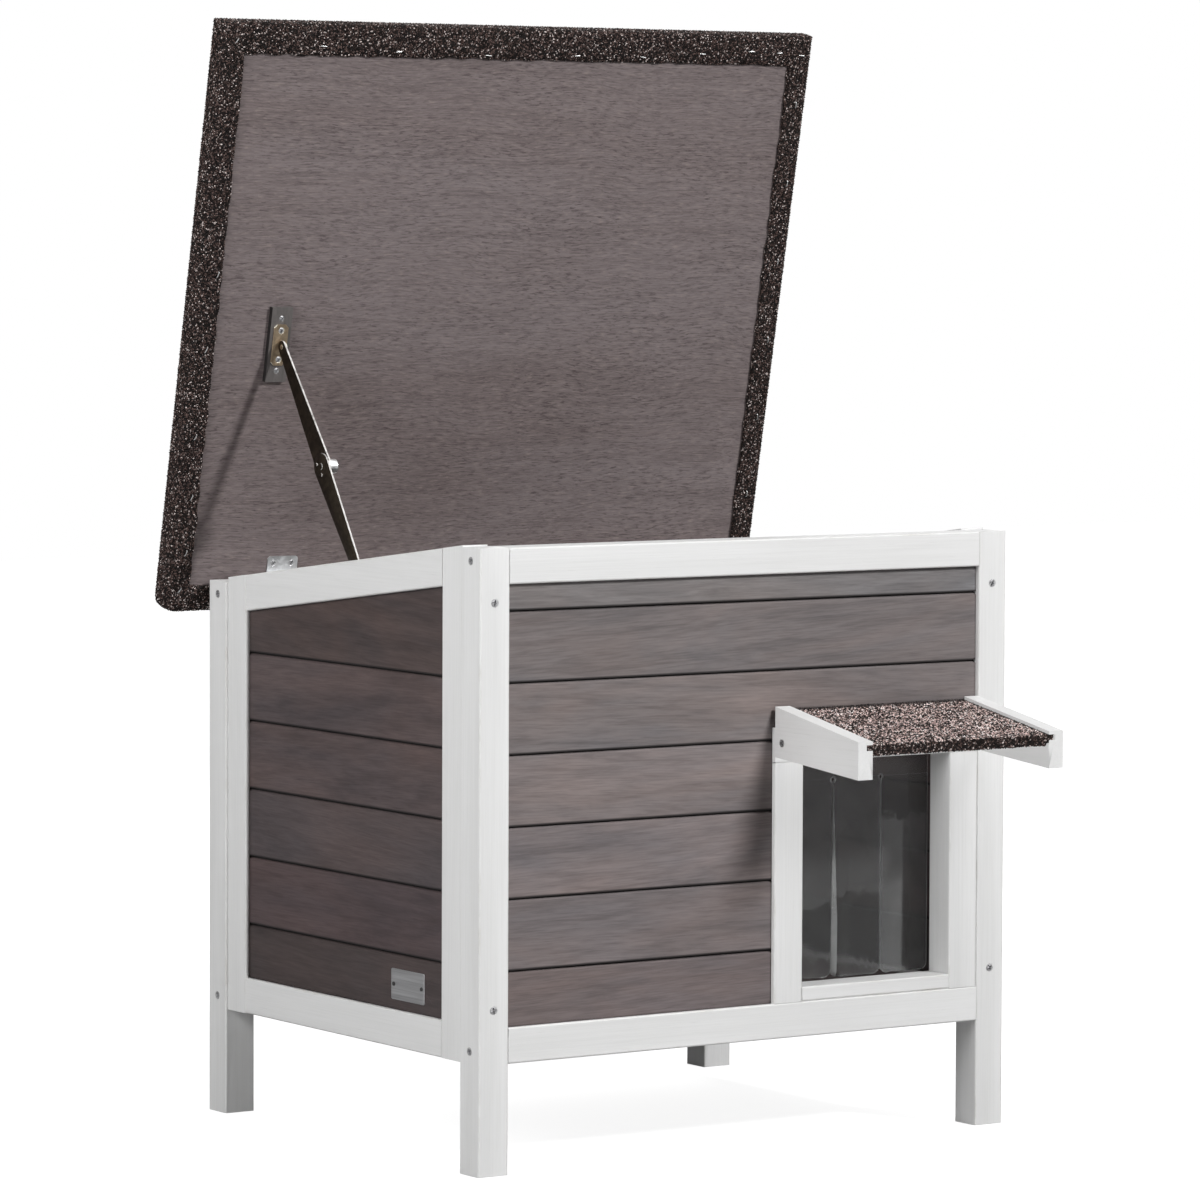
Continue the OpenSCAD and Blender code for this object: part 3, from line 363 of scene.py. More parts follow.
# Side panels: a painted frame of rails and stiles on each side, screwed between the posts, its top rail
# cut to the roof's slope, and grooved for the stained boards.
side_tones = ((0.062, 0.049, 0.049), (0.093, 0.067, 0.068), (0.092, 0.073, 0.074), (0.111, 0.082, 0.080),
              (0.105, 0.081, 0.081), (0.084, 0.062, 0.059))
side_stain = grey_stain("grey_stain_side", 1, 0.2045, 0.0711, side_tones)
for side in ("left", "right"):
    for rail in ("top_rail", "bottom_rail"):
        dress(side + "_" + rail, paint_y, "painted")
    for stile in ("front_stile", "rear_stile"):
        dress(side + "_" + stile, paint_z, "painted")
    dress(side + "_boards", side_stain, "stained")

# Rear wall: two painted rails between the rear posts with stained boards in their grooves, and the
# cleats that hold the ends of the front and rear boards.
rear_stain = grey_stain("grey_stain_rear", 0, 0.2015, 0.0711, front_tones[5::-1])
dress("rear_top_rail", paint_x, "painted")
dress("rear_bottom_rail", paint_x, "painted")
dress("rear_boards", rear_stain, "stained")
dress("wall_cleats", paint_z, "painted")

# Floor: a sheet of stained plywood on two painted battens, let in between the walls.
# The face veneer has short dark pores along its grain.


def veneer(name, tone_low, tone_high):
    ply = Finish(name)
    wave = ply.noise(ply.stretch((1.6, 6.0, 6.0)), detail=4.0, roughness=0.5, distortion=1.2)
    bend = ply.node("ShaderNodeTexNoise", {"Vector": ply.place, "Scale": 7.0, "Detail": 1.0}).outputs["Color"]
    grained = ply.node("ShaderNodeVectorMath", {0: bend, 1: (0.0, 0.02, 0.02), 2: ply.place}, operation="MULTIPLY_ADD")
    grained = grained.outputs[0]
    band = ply.noise(ply.stretch((5.0, 90.0, 90.0), source=grained), detail=6.0, roughness=0.65, distortion=0.8)
    pores = ply.noise(ply.stretch((95.0, 620.0, 620.0), source=grained), detail=3.0, roughness=0.6, distortion=0.4)
    dark_pores = ply.span(pores, 0.52, 0.68)
    pale_pores = ply.span(pores, 0.44, 0.30)
    spread = ply.noise(ply.stretch((6.0, 16.0, 16.0), (3.0, 1.0, 2.0)), detail=3.0)
    spread = ply.span(spread, 0.36, 0.62, 0.5, 1.0)
    fibre = ply.noise(ply.stretch((26.0, 1100.0, 1100.0), source=grained), detail=2.0)
    tone = ply.ramp(wave, (0.3, tone_low), (0.68, tone_high))
    shadow = ply.mix(1.0, tone, (0.40, 0.37, 0.37, 1.0), "MULTIPLY")
    tone = ply.mix(ply.span(band, 0.45, 0.78, 0.0, 0.45), tone, shadow)
    tone = ply.mix(ply.span(fibre, 0.38, 0.75, 0.0, 0.6), tone, shadow)
    tone = ply.mix(ply.sum("MULTIPLY", pale_pores, 0.4), tone, (0.32, 0.26, 0.235, 1.0))
    tone = ply.mix(ply.sum("MULTIPLY", dark_pores, spread), tone, shadow)
    height = ply.sum("MULTIPLY_ADD", dark_pores, -0.6, ply.sum("MULTIPLY", fibre, 0.3))
    skin = ply.bump(height, 0.0005, 0.4)
    dull = ply.span(wave, 0.3, 0.7, 0.6, 0.5)
    return ply.coat(Base_Color=tone, Roughness=dull, Normal=skin, Specular_IOR_Level=0.3)


lid_veneer = veneer("stained_veneer", (0.178, 0.144, 0.142), (0.214, 0.181, 0.182))
dress("floor_panel", lid_veneer, "stained")
dress("floor_battens", paint_y, "painted")

# Awning: two painted cheeks with a slot each, screwed to a batten on the doorway's head, and a small
# board slid into the slots. Mineral felt is laid on it and turned down over its front edge.
awning = [dress(cheek, paint_y, "painted") for cheek in ("awning_cheek_left", "awning_cheek_right")]
awning.append(dress("awning_batten_bar", paint_x, "painted"))
awning.append(dress("awning_board", lid_veneer, "stained"))


class Pattern(Wiring):
    """A repeat laid over points or faces by Geometry Nodes, with named inputs."""

    def __init__(self, name, inputs):
        self.tree = bpy.data.node_groups.new(name, "GeometryNodeTree")
        self.tree.interface.new_socket("Geometry", in_out="INPUT", socket_type="NodeSocketGeometry")
        for label, kind in inputs.items():
            self.tree.interface.new_socket(label, in_out="INPUT", socket_type="NodeSocket" + kind)
        self.tree.interface.new_socket("Geometry", in_out="OUTPUT", socket_type="NodeSocketGeometry")
        self.given = self.tree.nodes.new("NodeGroupInput").outputs
        self.result = self.tree.nodes.new("NodeGroupOutput").inputs["Geometry"]

    def close(self, instances):
        real = self.node("GeometryNodeRealizeInstances", {"Geometry": instances})
        inputs = {"Geometry": real.outputs["Geometry"], "Material": self.given["Finish"]}
        self.feed(self.result, self.node("GeometryNodeSetMaterial", inputs).outputs["Geometry"])

    def lay(self, name, mesh, values):
        piece = bpy.data.objects.new(name, mesh)
        scene.collection.objects.link(piece)
        modifier = piece.modifiers.new("pattern", "NODES")
        modifier.node_group = self.tree
        for item in self.tree.interface.items_tree:
            if item.in_out == "INPUT" and item.name in values:
                modifier[item.identifier] = values[item.name]
        settle(piece)
        return piece


granules = Pattern("felt_granules", {"Spacing": "Float", "Size": "Float", "Cover": "String",
                                     "Seed": "Int", "Finish": "Material"})
cover = granules.node("GeometryNodeInputNamedAttribute", {"Name": granules.given["Cover"]}, data_type="FLOAT")
scatter = granules.node("GeometryNodeDistributePointsOnFaces", {
    "Mesh": granules.given["Geometry"], "Distance Min": granules.given["Spacing"], "Density Max": 600000.0,
    "Density Factor": cover.outputs["Attribute"], "Seed": granules.given["Seed"]},
    distribute_method="POISSON")
shade = granules.node("FunctionNodeRandomValue", {"Seed": granules.given["Seed"]}, data_type="FLOAT")
toned = granules.node("GeometryNodeStoreNamedAttribute", {
    "Geometry": scatter.outputs["Points"], "Name": "shade", "Value": shade.outputs[1]},
    data_type="FLOAT", domain="POINT")
chip = granules.node("GeometryNodeMeshUVSphere", {"Segments": 3, "Rings": 2, "Radius": granules.given["Size"]})
tumble = granules.node("FunctionNodeRandomValue", {"Max": (6.28, 6.28, 6.28), "Seed": 3}, data_type="FLOAT_VECTOR")
girth = granules.node("FunctionNodeRandomValue", {
    "Min": (0.6, 0.6, 0.6), "Max": (1.25, 1.25, 1.25), "Seed": 5}, data_type="FLOAT_VECTOR")
strewn = granules.node("GeometryNodeInstanceOnPoints", {
    "Points": toned.outputs["Geometry"], "Instance": chip.outputs["Mesh"],
    "Rotation": tumble.outputs["Value"], "Scale": girth.outputs["Value"]})
granules.close(strewn.outputs["Instances"])


def tar_and_shade_rim(felt, tone, corner):
    """Darkens the felt along the boards behind it, partly as a tarred seam and partly as painted shade, and paints
    shade along the cheek on its right.
    """
    parts = felt.node("ShaderNodeSeparateXYZ", {"Vector": felt.place})
    behind = felt.span(parts.outputs["Y"], corner.y - 0.012, corner.y - 0.006)
    beside = felt.span(parts.outputs["X"], corner.x - 0.0105, corner.x - 0.0085)
    rim_tar_and_shade = felt.sum("MULTIPLY", felt.sum("MAXIMUM", behind, beside), 0.9)
    return felt.mix(rim_tar_and_shade, tone, (0.008, 0.006, 0.006, 1.0))


def chips(name, corner, *stops):
    grit = Finish(name)
    tone = grit.ramp(grit.mark("shade"), *stops)
    if corner:
        tone = tar_and_shade_rim(grit, tone, corner)
    skin = grit.bump(grit.noise(grit.place, 2400.0, 2.0), 0.0004, 0.5)
    dull = grit.span(grit.noise(grit.place, 40.0), 0.3, 0.7, 0.45, 0.7)
    return grit.coat(Base_Color=tone, Roughness=dull, Normal=skin, Specular_IOR_Level=0.2)


def felt_bed(name, corner, *stops):
    bed = Finish(name)
    cells = bed.node("ShaderNodeTexVoronoi", {"Vector": bed.place, "Scale": 620.0, "Randomness": 1.0})
    hue = bed.node("ShaderNodeSeparateColor", {"Color": cells.outputs["Color"]}).outputs["Red"]
    tone = bed.ramp(hue, *stops)
    if corner:
        tone = tar_and_shade_rim(bed, tone, corner)
    gap = bed.span(cells.outputs["Distance"], 0.35, 0.75)
    tone = bed.mix(gap, tone, (0.006, 0.005, 0.005, 1.0))
    skin = bed.bump(bed.sum("SUBTRACT", 1.0, cells.outputs["Distance"]), 0.0012, 0.9)
    dull = bed.span(hue, 0.0, 1.0, 0.5, 0.75)
    return bed.coat(Base_Color=tone, Roughness=dull, Normal=skin, Specular_IOR_Level=0.15)


pale_stops = ((0.0, (0.004, 0.003, 0.002)), (0.53, (0.020, 0.013, 0.011)), (0.58, (0.42, 0.29, 0.265)),
              (0.84, (0.82, 0.64, 0.60)), (1.0, (1.0, 0.95, 0.93)))
dark_stops = ((0.0, (0.003, 0.002, 0.0015)), (0.58, (0.013, 0.007, 0.0055)), (0.66, (0.080, 0.049, 0.042)),
              (0.90, (0.16, 0.108, 0.096)), (1.0, (0.85, 0.75, 0.72)))
felt_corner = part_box("awning_felt")[1]
pale_bed = felt_bed("felt_bed_pale", felt_corner, *pale_stops)
dark_bed = felt_bed("felt_bed_dark", None, *dark_stops)
pale_chips = chips("felt_chips_pale", felt_corner, *pale_stops)
dark_chips = chips("felt_chips_dark", None, *dark_stops)

awning_felt = dress("awning_felt", pale_bed, "sheet")
ease = awning_felt.modifiers.new("ease", "BEVEL")
ease.width = 0.0013
ease.segments = 3
settle(awning_felt)
# The turned-down faces, and the granules on them, take the dark felt of the lid and the top faces the pale felt: the
# darker fold is partly the felt's bitumen edge and partly painted shade.
awning_felt.data.materials.append(dark_bed)
turned_down = [1.0 if face.normal.z < 0.3 else 0.0 for face in awning_felt.data.polygons]
for face, down in zip(awning_felt.data.polygons, turned_down):
    face.material_index = int(down)
zones = {"top": [1.0 - down for down in turned_down], "edge": turned_down}
for zone, values in zones.items():
    awning_felt.data.attributes.new(zone, "FLOAT", "FACE").data.foreach_set("value", values)
awning.append(awning_felt)
for zone, finish in (("top", pale_chips), ("edge", dark_chips)):
    grit = granules.lay("awning_felt_granules_" + zone, awning_felt.data.copy(), {
        "Spacing": 0.0017, "Size": 0.0012, "Cover": zone, "Seed": 11, "Finish": finish})
    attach(grit, "house")
    awning.append(grit)


def lamp_list(name, pieces, state):
    group = bpy.data.collections.new(name)
    for piece in pieces:
        group.objects.link(piece)
    for member in group.collection_objects:
        member.light_linking.link_state = state
    return group


# In the photograph the awning's shade is soft on the boards and hardly shows on the doorway's paint, so
# both have lamps of their own.
for lamp in (key_lamp, front_left_lamp, top_lamp):
    others = front_boards + doorway if lamp == key_lamp else front_boards
    lamp.light_linking.receiver_collection = lamp_list("not_under_" + lamp.name, others, "EXCLUDE")
boards_lamp.light_linking.receiver_collection = lamp_list("under_boards_lamp", front_boards, "INCLUDE")
for lamp in (doorway_lamp, doorway_shade_lamp):
    lamp.light_linking.receiver_collection = lamp_list("under_" + lamp.name, doorway, "INCLUDE")
for lamp in (doorway_lamp, left_lamp, front_left_lamp):
    lamp.light_linking.blocker_collection = lamp_list("not_shading_" + lamp.name, awning, "EXCLUDE")

# Flap: a sheet of clear soft plastic, screwed behind the doorway's head and slit into three tongues.
# The slits end in punched holes, the cut edges are milky, and the tongues hang with a slight wave.


flap_lo, flap_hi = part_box("flap_tongue_middle")
flap_thick = flap_hi.y - flap_lo.y
flap_mid_y = (flap_lo.y + flap_hi.y) / 2
flap_bend_z = 0.3665
flap_hole_r = 0.002
flap_corner_r = 0.008
left_slit, right_slit = flap_lo.x - 0.0006, flap_hi.x + 0.0006


def clear_sheet(name):
    """Pale patches with ragged borders are painted light, the lit inside seen through the sheet, and a dark strip is
    its painted shade; a paler band runs down the left slit and pale rings lie round the holes.
    """
    sheet = Finish(name)
    parts = sheet.node("ShaderNodeSeparateXYZ", {"Vector": sheet.place})
    x, z = parts.outputs["X"], parts.outputs["Z"]
    cloud = sheet.noise(sheet.place, 22.0, 4.0, 0.6, 1.0)
    ripple = sheet.noise(sheet.stretch((26.0, 26.0, 9.0)), detail=2.0, distortion=0.6)
    tint = sheet.ramp(cloud, (0.3, (0.50, 0.51, 0.51)), (0.7, (0.66, 0.67, 0.67)))
    # Painted light: pale patches on both sides of the right slit, with ragged borders at set heights, stand for the lit
    # inside of the house seen through the sheet.
    ragged = sheet.sum("MULTIPLY_ADD", sheet.noise(sheet.place, 60.0, 8.0, 0.7), 0.05, -0.025)
    height = sheet.sum("ADD", z, ragged)
    border = sheet.span(x, left_slit, left_slit + 0.0005, 0.236, 0.248)
    wide = sheet.span(sheet.sum("SUBTRACT", height, border), -0.0012, 0.0012, 0.35, 1.0)
    wide = sheet.sum("MULTIPLY", wide, sheet.span(z, 0.34, 0.25, 0.35, 1.0))
    narrow = sheet.span(height, 0.328, 0.325, 0.0, 1.65)
    narrow = sheet.sum("MULTIPLY", narrow, sheet.span(x, right_slit + 0.027, right_slit + 0.031, 1.0, 0.0))
    on_right = sheet.sum("GREATER_THAN", x, right_slit)
    painted_interior_light = sheet.node("ShaderNodeMix", {0: on_right, 2: wide, 3: narrow}).outputs[0]
    # Painted shade: right of the right slit, a strip above the lit patch is darkened.
    painted_interior_shade = sheet.sum("MULTIPLY", on_right, sheet.span(height, 0.325, 0.328))
    painted_interior_shade = sheet.sum("MULTIPLY", painted_interior_shade, sheet.span(z, 0.375, 0.345))
    tint = sheet.mix(sheet.sum("MULTIPLY", painted_interior_shade, 0.8), tint, (0.30, 0.30, 0.30, 1.0))
    half_band = sheet.span(z, flap_bend_z, 0.22, 0.0002, 0.0034)
    off_band = sheet.sum("ABSOLUTE", sheet.sum("SUBTRACT", sheet.sum("SUBTRACT", x, left_slit), half_band))
    band = sheet.sum("LESS_THAN", off_band, half_band)
    for slit in (left_slit, right_slit):
        hole = {0: sheet.place, 1: (slit, flap_mid_y, flap_bend_z)}
        reach = sheet.node("ShaderNodeVectorMath", hole, operation="DISTANCE").outputs["Value"]
        band = sheet.sum("MAXIMUM", band, sheet.span(reach, 0.0042, 0.0036))
    # The painted light and the band along the left slit make the sheet paler and less clear.
    band_and_painted_light = sheet.sum("MULTIPLY_ADD", painted_interior_light, 0.07, sheet.sum("MULTIPLY", band, 0.3))
    smooth = sheet.span(cloud, 0.4, 0.75, 0.08, 0.16)
    skin = sheet.bump(ripple, 0.004, 0.5)
    return sheet.coat(Base_Color=tint, Roughness=smooth, Normal=skin, IOR=1.46,
                      Transmission_Weight=sheet.sum("SUBTRACT", 1.0, band_and_painted_light))


def milky_edge(name):
    edge = Finish(name)
    cloud = edge.noise(edge.stretch((300.0, 300.0, 30.0)))
    tint = edge.ramp(cloud, (0.3, (0.55, 0.56, 0.57)), (0.7, (0.75, 0.76, 0.77)))
    return edge.coat(Base_Color=tint, Roughness=edge.span(cloud, 0.3, 0.7, 0.25, 0.5), Transmission_Weight=0.5)


clear = clear_sheet("clear_sheet")
cut_edge = milky_edge("clear_sheet_cut_edge")


def tongue(node, left_hole, right_hole, left_curl, right_curl, sway):
    lo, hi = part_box(node)
    top = flap_bend_z + 0.00125
    heights = [lo.z + flap_corner_r * (1 - math.cos(math.pi * i / 16)) for i in range(8)]
    heights += [lo.z + flap_corner_r + (top - 0.030 - lo.z - flap_corner_r) * i / 18 for i in range(19)]
    heights += [top - 0.030 + 0.027 * i / 9 for i in range(1, 10)]
    heights += [top - 0.003 + 0.003 * i / 6 for i in range(1, 7)]
    columns = 16
    points = []
    for z in heights:
        low = max(0.0, flap_corner_r - (z - lo.z))
        inset = flap_corner_r - math.sqrt(max(0.0, flap_corner_r ** 2 - low ** 2))
        dz = z - flap_bend_z
        bite = math.sqrt(max(0.0, flap_hole_r ** 2 - dz ** 2)) - 0.0006 if abs(dz) < flap_hole_r else 0.0
        x0 = lo.x + max(inset, bite if left_hole else 0.0)
        x1 = hi.x - max(inset, bite if right_hole else 0.0)
        drop = max(0.0, flap_bend_z - z) / 0.2035
        for i in range(columns + 1):
            u = i / columns
            x = x0 + (x1 - x0) * u
            wave = sway * drop ** 2 * math.sin(math.pi * u)
            wave += left_curl * drop ** 2 * max(0.0, 1.0 - u / 0.22) ** 2
            wave += right_curl * drop ** 2 * max(0.0, 1.0 - (1.0 - u) / 0.22) ** 2
            points.append((x, (lo.y + hi.y) / 2 + wave, z))
    faces = []
    for j in range(len(heights) - 1):
        for i in range(columns):
            a = j * (columns + 1) + i
            faces.append((a, a + 1, a + columns + 2, a + columns + 1))
    mesh = bpy.data.meshes.new(node)
    mesh.from_pydata(points, [], faces)
    mesh.materials.append(clear)
    mesh.materials.append(cut_edge)
    mesh.shade_smooth()
    piece = bpy.data.objects.new(node + "_sheet", mesh)
    scene.collection.objects.link(piece)
    wall = piece.modifiers.new("thickness", "SOLIDIFY")
    wall.thickness = flap_thick
    wall.offset = 0.0
    wall.material_offset_rim = 1
    settle(piece)
    piece.data.set_sharp_from_angle(angle=math.radians(40.0))
    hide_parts(node)
    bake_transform(piece)


tongue("flap_tongue_left", False, True, 0.0, 0.002, 0.0012)
tongue("flap_tongue_middle", True, True, 0.0055, 0.0, -0.0010)
tongue("flap_tongue_right", True, False, 0.0, 0.0, 0.0014)
dress("flap_band", clear, "sheet")

# Lid: a plywood board wrapped in mineral felt, which is folded round all four edges and stapled to the
# underside. The side strips lap over the front one at the corners, and the cut edges run a little wild.
lid_lean = math.radians(78.5)
lid_axis = Vector((-0.325, 0.32167, 0.557225))
lid_frame = Matrix.Translation(lid_axis) @ Matrix.Rotation(-lid_lean, 4, "X")


def on_lid(x, s, n):
    return lid_frame @ Vector((x, -s, n))


dress("roof_board", lid_veneer, "stained")

lid_x0, lid_x1 = -0.0495, 0.6975
lid_s0, lid_s1 = -0.031, 0.59595
lid_corner = 0.009
felt_return = 0.0275
felt_returns = (0.0330, 0.0270, 0.0275, 0.0290)
felt_under, felt_over = -0.0001, 0.0219
ply_under, ply_over = 0.0029, 0.0179
felt_top = 0.0209
fold_r = 0.0040
crown_r = 0.0020
lap = 0.0012
wild = random.Random(4)
wild_waves = [(wild.uniform(20, 240), wild.uniform(0, 6.28), wild.uniform(0.0001, 0.0004)) for _ in range(9)]


def run_wild(u):
    return sum(size * math.sin(rate * u + start) for rate, start, size in wild_waves)


def side_steps(length):
    inner = [0.0, 0.006, 0.014, 0.021, felt_return - 0.0003, felt_return + 0.0003]
    count = int((length - 2 * inner[-1]) / 0.008)
    middle = [inner[-1] + (length - 2 * inner[-1]) * i / count for i in range(1, count)]
    return inner + middle + [length - value for value in reversed(inner)]


steps_x = side_steps(lid_x1 - lid_x0)
steps_s = side_steps(lid_s1 - lid_s0)


def felt_ring(inset, n, loose=0.0, lapped=True):
    """One closed line round the lid, at one distance from its edges and one height."""
    ring = []
    width, length = lid_x1 - lid_x0, lid_s1 - lid_s0
    insets = [inset * value / felt_return for value in felt_returns]
    for side in range(4):
        for u in (steps_x, steps_s)[side % 2][:-1]:
            d = insets[side] + loose * run_wild(u + 3.0 * side)
            span = (width, length)[side % 2]
            t = min(max(u, insets[side - 1]), span - insets[(side + 1) % 4])
            x, s = ((t, length - d), (width - d, length - t), (width - t, d), (d, t))[side]
            cut = max(0.0, lid_corner + math.sqrt(2) * inset - min(x, width - x) - s) / 2
            x += cut if x < width / 2 else -cut
            s += cut
            over = lap if lapped and n < 0.0035 and min(x, width - x) < felt_return else 0.0
            ring.append((lid_x0 + x, lid_s0 + s, n - over * min(1.0, (0.0045 - n) / 0.004)))
    return ring


fold = [i * math.pi / 10 for i in range(6)]
outer = [(felt_return, ply_under, 1.0), (felt_return, felt_under + 0.0008, 1.0), (felt_return - 0.0007, felt_under, 1.0),
         (0.020, felt_under, 0.0), (0.012, felt_under, 0.0)]
outer += [(fold_r * (1 - math.sin(a)), felt_under + fold_r * (1 - math.cos(a)), 0.0) for a in fold]
outer += [(0.0, 0.0104, 0.0)]
outer += [(crown_r * (1 - math.cos(a)), felt_over - crown_r * (1 - math.sin(a)), 0.0) for a in fold]
outer += [(inset, felt_top, 0.0) for inset in (0.03, 0.09, 0.18, 0.27)]
inner = [(0.003, ply_under, 0.0), (0.003, ply_over, 0.0)]
rings = [felt_ring(*row) for row in reversed(inner)] + [felt_ring(*row) for row in outer]
per_ring = len(rings[0])
felt_points = [on_lid(*point) for ring in rings for point in ring]
felt_faces = []
felt_rows = []
for row in range(len(rings) - 1):
    for i in range(per_ring):
        j = (i + 1) % per_ring
        felt_faces.append((row * per_ring + i, row * per_ring + j, (row + 1) * per_ring + j, (row + 1) * per_ring + i))
        felt_rows.append(row)
felt_faces.append(tuple(range(per_ring - 1, -1, -1)))
felt_rows.append(-1)
felt_faces.append(tuple((len(rings) - 1) * per_ring + i for i in range(per_ring)))
felt_rows.append(len(rings))
felt_mesh = bpy.data.meshes.new("roof_felt")
felt_mesh.from_pydata(felt_points, [], felt_faces)
strip_row, edge_row, crown_row = len(inner), len(inner) + 7, len(outer) - 4
felt_zones = (("strip", strip_row, edge_row, 0.0014, 0.0010), ("edge", edge_row, crown_row, 0.0014, 0.0010),
              ("crown", crown_row, len(rings) + 1, 0.0034, 0.0018))
for zone, first, last, _, _ in felt_zones:
    marks = felt_mesh.attributes.new(zone, "FLOAT", "FACE")
    marks.data.foreach_set("value", [1.0 if first <= row < last else 0.0 for row in felt_rows])
form = bmesh.new()
form.from_mesh(felt_mesh)
bmesh.ops.remove_doubles(form, verts=form.verts, dist=1e-6)
bmesh.ops.dissolve_degenerate(form, edges=form.edges, dist=1e-6)
bmesh.ops.recalc_face_normals(form, faces=form.faces)
form.to_mesh(felt_mesh)
form.free()
felt_mesh.materials.append(dark_bed)
felt_mesh.shade_smooth()
felt_mesh.set_sharp_from_angle(angle=math.radians(50.0))
roof_felt = bpy.data.objects.new("roof_felt_sheet", felt_mesh)
scene.collection.objects.link(roof_felt)
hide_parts("roof_felt")
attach(roof_felt, "lid")
for zone, _, last, spacing, size in felt_zones:
    grit = granules.lay("roof_felt_granules_" + zone, felt_mesh.copy(), {
        "Spacing": spacing, "Size": size, "Cover": zone, "Seed": 20 + last, "Finish": dark_chips})
    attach(grit, "lid")

# Staples: bright wire staples driven through the turned-under felt, pressed half into the granules.


def bright_metal(name, tone, dull, tint=0.12, worn=0.0):
    """The arrises are brighter than the faces: a painted highlight, and bare cut metal; worn ones are bare and matt."""
    metal = Finish(name)
    spangle = metal.node("ShaderNodeTexVoronoi", {"Vector": metal.place, "Scale": 260.0})
    hue = metal.node("ShaderNodeSeparateColor", {"Color": spangle.outputs["Color"]}).outputs["Red"]
    smear = metal.noise(metal.place, 120.0, 5.0, 0.65)
    low = tuple(value * (1.0 - 2 * tint) for value in tone)
    face = metal.ramp(metal.sum("MULTIPLY_ADD", hue, 0.35, metal.sum("MULTIPLY", smear, 0.65)), (0.3, low), (0.7, tone))
    # Painted highlight: the arrises are lightened; on worn metal they are also bare and matt.
    edge = metal.sum("MULTIPLY", metal.mark("arris"), metal.span(smear, 0.3, 0.6, 0.35, 0.9))
    bright = tuple(min(1.0, 0.3 + value * 1.2 + 0.5 * worn) for value in tone)
    face = metal.mix(edge, face, bright + (1.0,))
    skin = metal.bump(metal.noise(metal.place, 900.0, 4.0, 0.7), 0.0002, 0.35)
    gloss = metal.span(smear, 0.3, 0.7, dull - 0.08, dull + 0.12)
    bare = metal.sum("MULTIPLY_ADD", edge, -worn, 1.0)
    return metal.coat(Base_Color=face, Roughness=gloss, Normal=skin, Metallic=bare)


fixings = Pattern("driven_fixings", {"Fixing": "Object", "Finish": "Material"})
heading = fixings.node("GeometryNodeInputNamedAttribute", {"Name": "heading"}, data_type="FLOAT_VECTOR")
twist = fixings.node("GeometryNodeInputNamedAttribute", {"Name": "twist"}, data_type="FLOAT")
facing = fixings.node("FunctionNodeAlignRotationToVector", {"Vector": heading.outputs["Attribute"]}, axis="Z")
spin = fixings.node("FunctionNodeAxisAngleToRotation", {"Axis": (0.0, 0.0, 1.0), "Angle": twist.outputs["Attribute"]})
turned = fixings.node("FunctionNodeRotateRotation", {
    "Rotation": facing.outputs["Rotation"], "Rotate By": spin.outputs["Rotation"]}, rotation_space="LOCAL")
shape = fixings.node("GeometryNodeObjectInfo", {"Object": fixings.given["Fixing"]})
driven = fixings.node("GeometryNodeInstanceOnPoints", {
    "Points": fixings.given["Geometry"], "Instance": shape.outputs["Geometry"],
    "Rotation": turned.outputs["Rotation"]})
fixings.close(driven.outputs["Instances"])


def drive(name, fixing, places, finish, body, slot, *nodes):
    """Sets one fixing at each place: a point, the way its head faces and its turn."""
    mesh = bpy.data.meshes.new(name)
    mesh.from_pydata([place[0] for place in places], [], [])
    heading_data = mesh.attributes.new("heading", "FLOAT_VECTOR", "POINT")
    heading_data.data.foreach_set("vector", [value for place in places for value in place[1]])
    twist_data = mesh.attributes.new("twist", "FLOAT", "POINT")
    twist_data.data.foreach_set("value", [place[2] for place in places])
    piece = fixings.lay(name, mesh, {"Fixing": fixing, "Finish": finish})
    if nodes:
        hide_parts(*nodes)
    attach(piece, body)
    return piece


def rings_of(profile, sides):
    """A turned form: rings of points, with a cap on the first ring only."""
    form = bmesh.new()
    made = []
    for radius, height in profile:
        angles = [2 * math.pi * i / sides for i in range(sides)]
        made.append([form.verts.new((radius * math.cos(a), radius * math.sin(a), height)) for a in angles])
    for low, high in zip(made, made[1:]):
        for i in range(sides):
            j = (i + 1) % sides
            form.faces.new((low[i], low[j], high[j], high[i]))
    form.faces.new(list(reversed(made[0])))
    return form, made


staple_form = bmesh.new()
staple_half, staple_r = 0.0030, 0.0006
staple_line = [(-staple_half, -0.004), (-staple_half, 0.0003), (-staple_half + 0.0006, 0.0011),
               (staple_half - 0.0006, 0.0011), (staple_half, 0.0003), (staple_half, -0.004)]
staple_rings = []
for x, z in staple_line:
    angles = [math.pi / 3 * i for i in range(6)]
    upright_leg = abs(abs(x) - staple_half) < 1e-6
    staple_rings.append([staple_form.verts.new((
        x + (staple_r * math.cos(a) if upright_leg else 0.0), staple_r * math.sin(a),
        z + (0.0 if upright_leg else staple_r * math.cos(a)))) for a in angles])
for low, high in zip(staple_rings, staple_rings[1:]):
    for i in range(6):
        j = (i + 1) % 6
        staple_form.faces.new((low[i], low[j], high[j], high[i]))
staple_form.faces.new(staple_rings[0])
staple_form.faces.new(staple_rings[-1])
bmesh.ops.recalc_face_normals(staple_form, faces=staple_form.faces)
staple_mesh = bpy.data.meshes.new("staple")
staple_form.to_mesh(staple_mesh)
staple_form.free()
staple_shape = bpy.data.objects.new("staple_shape", staple_mesh)
staple_wire = bright_metal("staple_wire", (0.86, 0.86, 0.86), 0.28)
lid_inward = on_lid(0, 0, -1) - on_lid(0, 0, 0)
staple_spots = [(-27, 331, 70), (-32, 251, 62), (-34, 158, 66), (-31, 93, 64), (-31, 33, 68), (-34, -7, 52),
                (-33, 577, 55), (73, 573, -4), (165, 569, 3), (277, 567, -6), (390, 569, 5), (475, 569, -8),
                (553, 574, -3), (617, 578, 4), (655, 577, 6), (684, 575, -4)]
staple_spots += [(684.0 + 2.0 * math.sin(7 * i), 520.0 - 88.0 * i, 90 + 6 * math.sin(5 * i)) for i in range(7)]
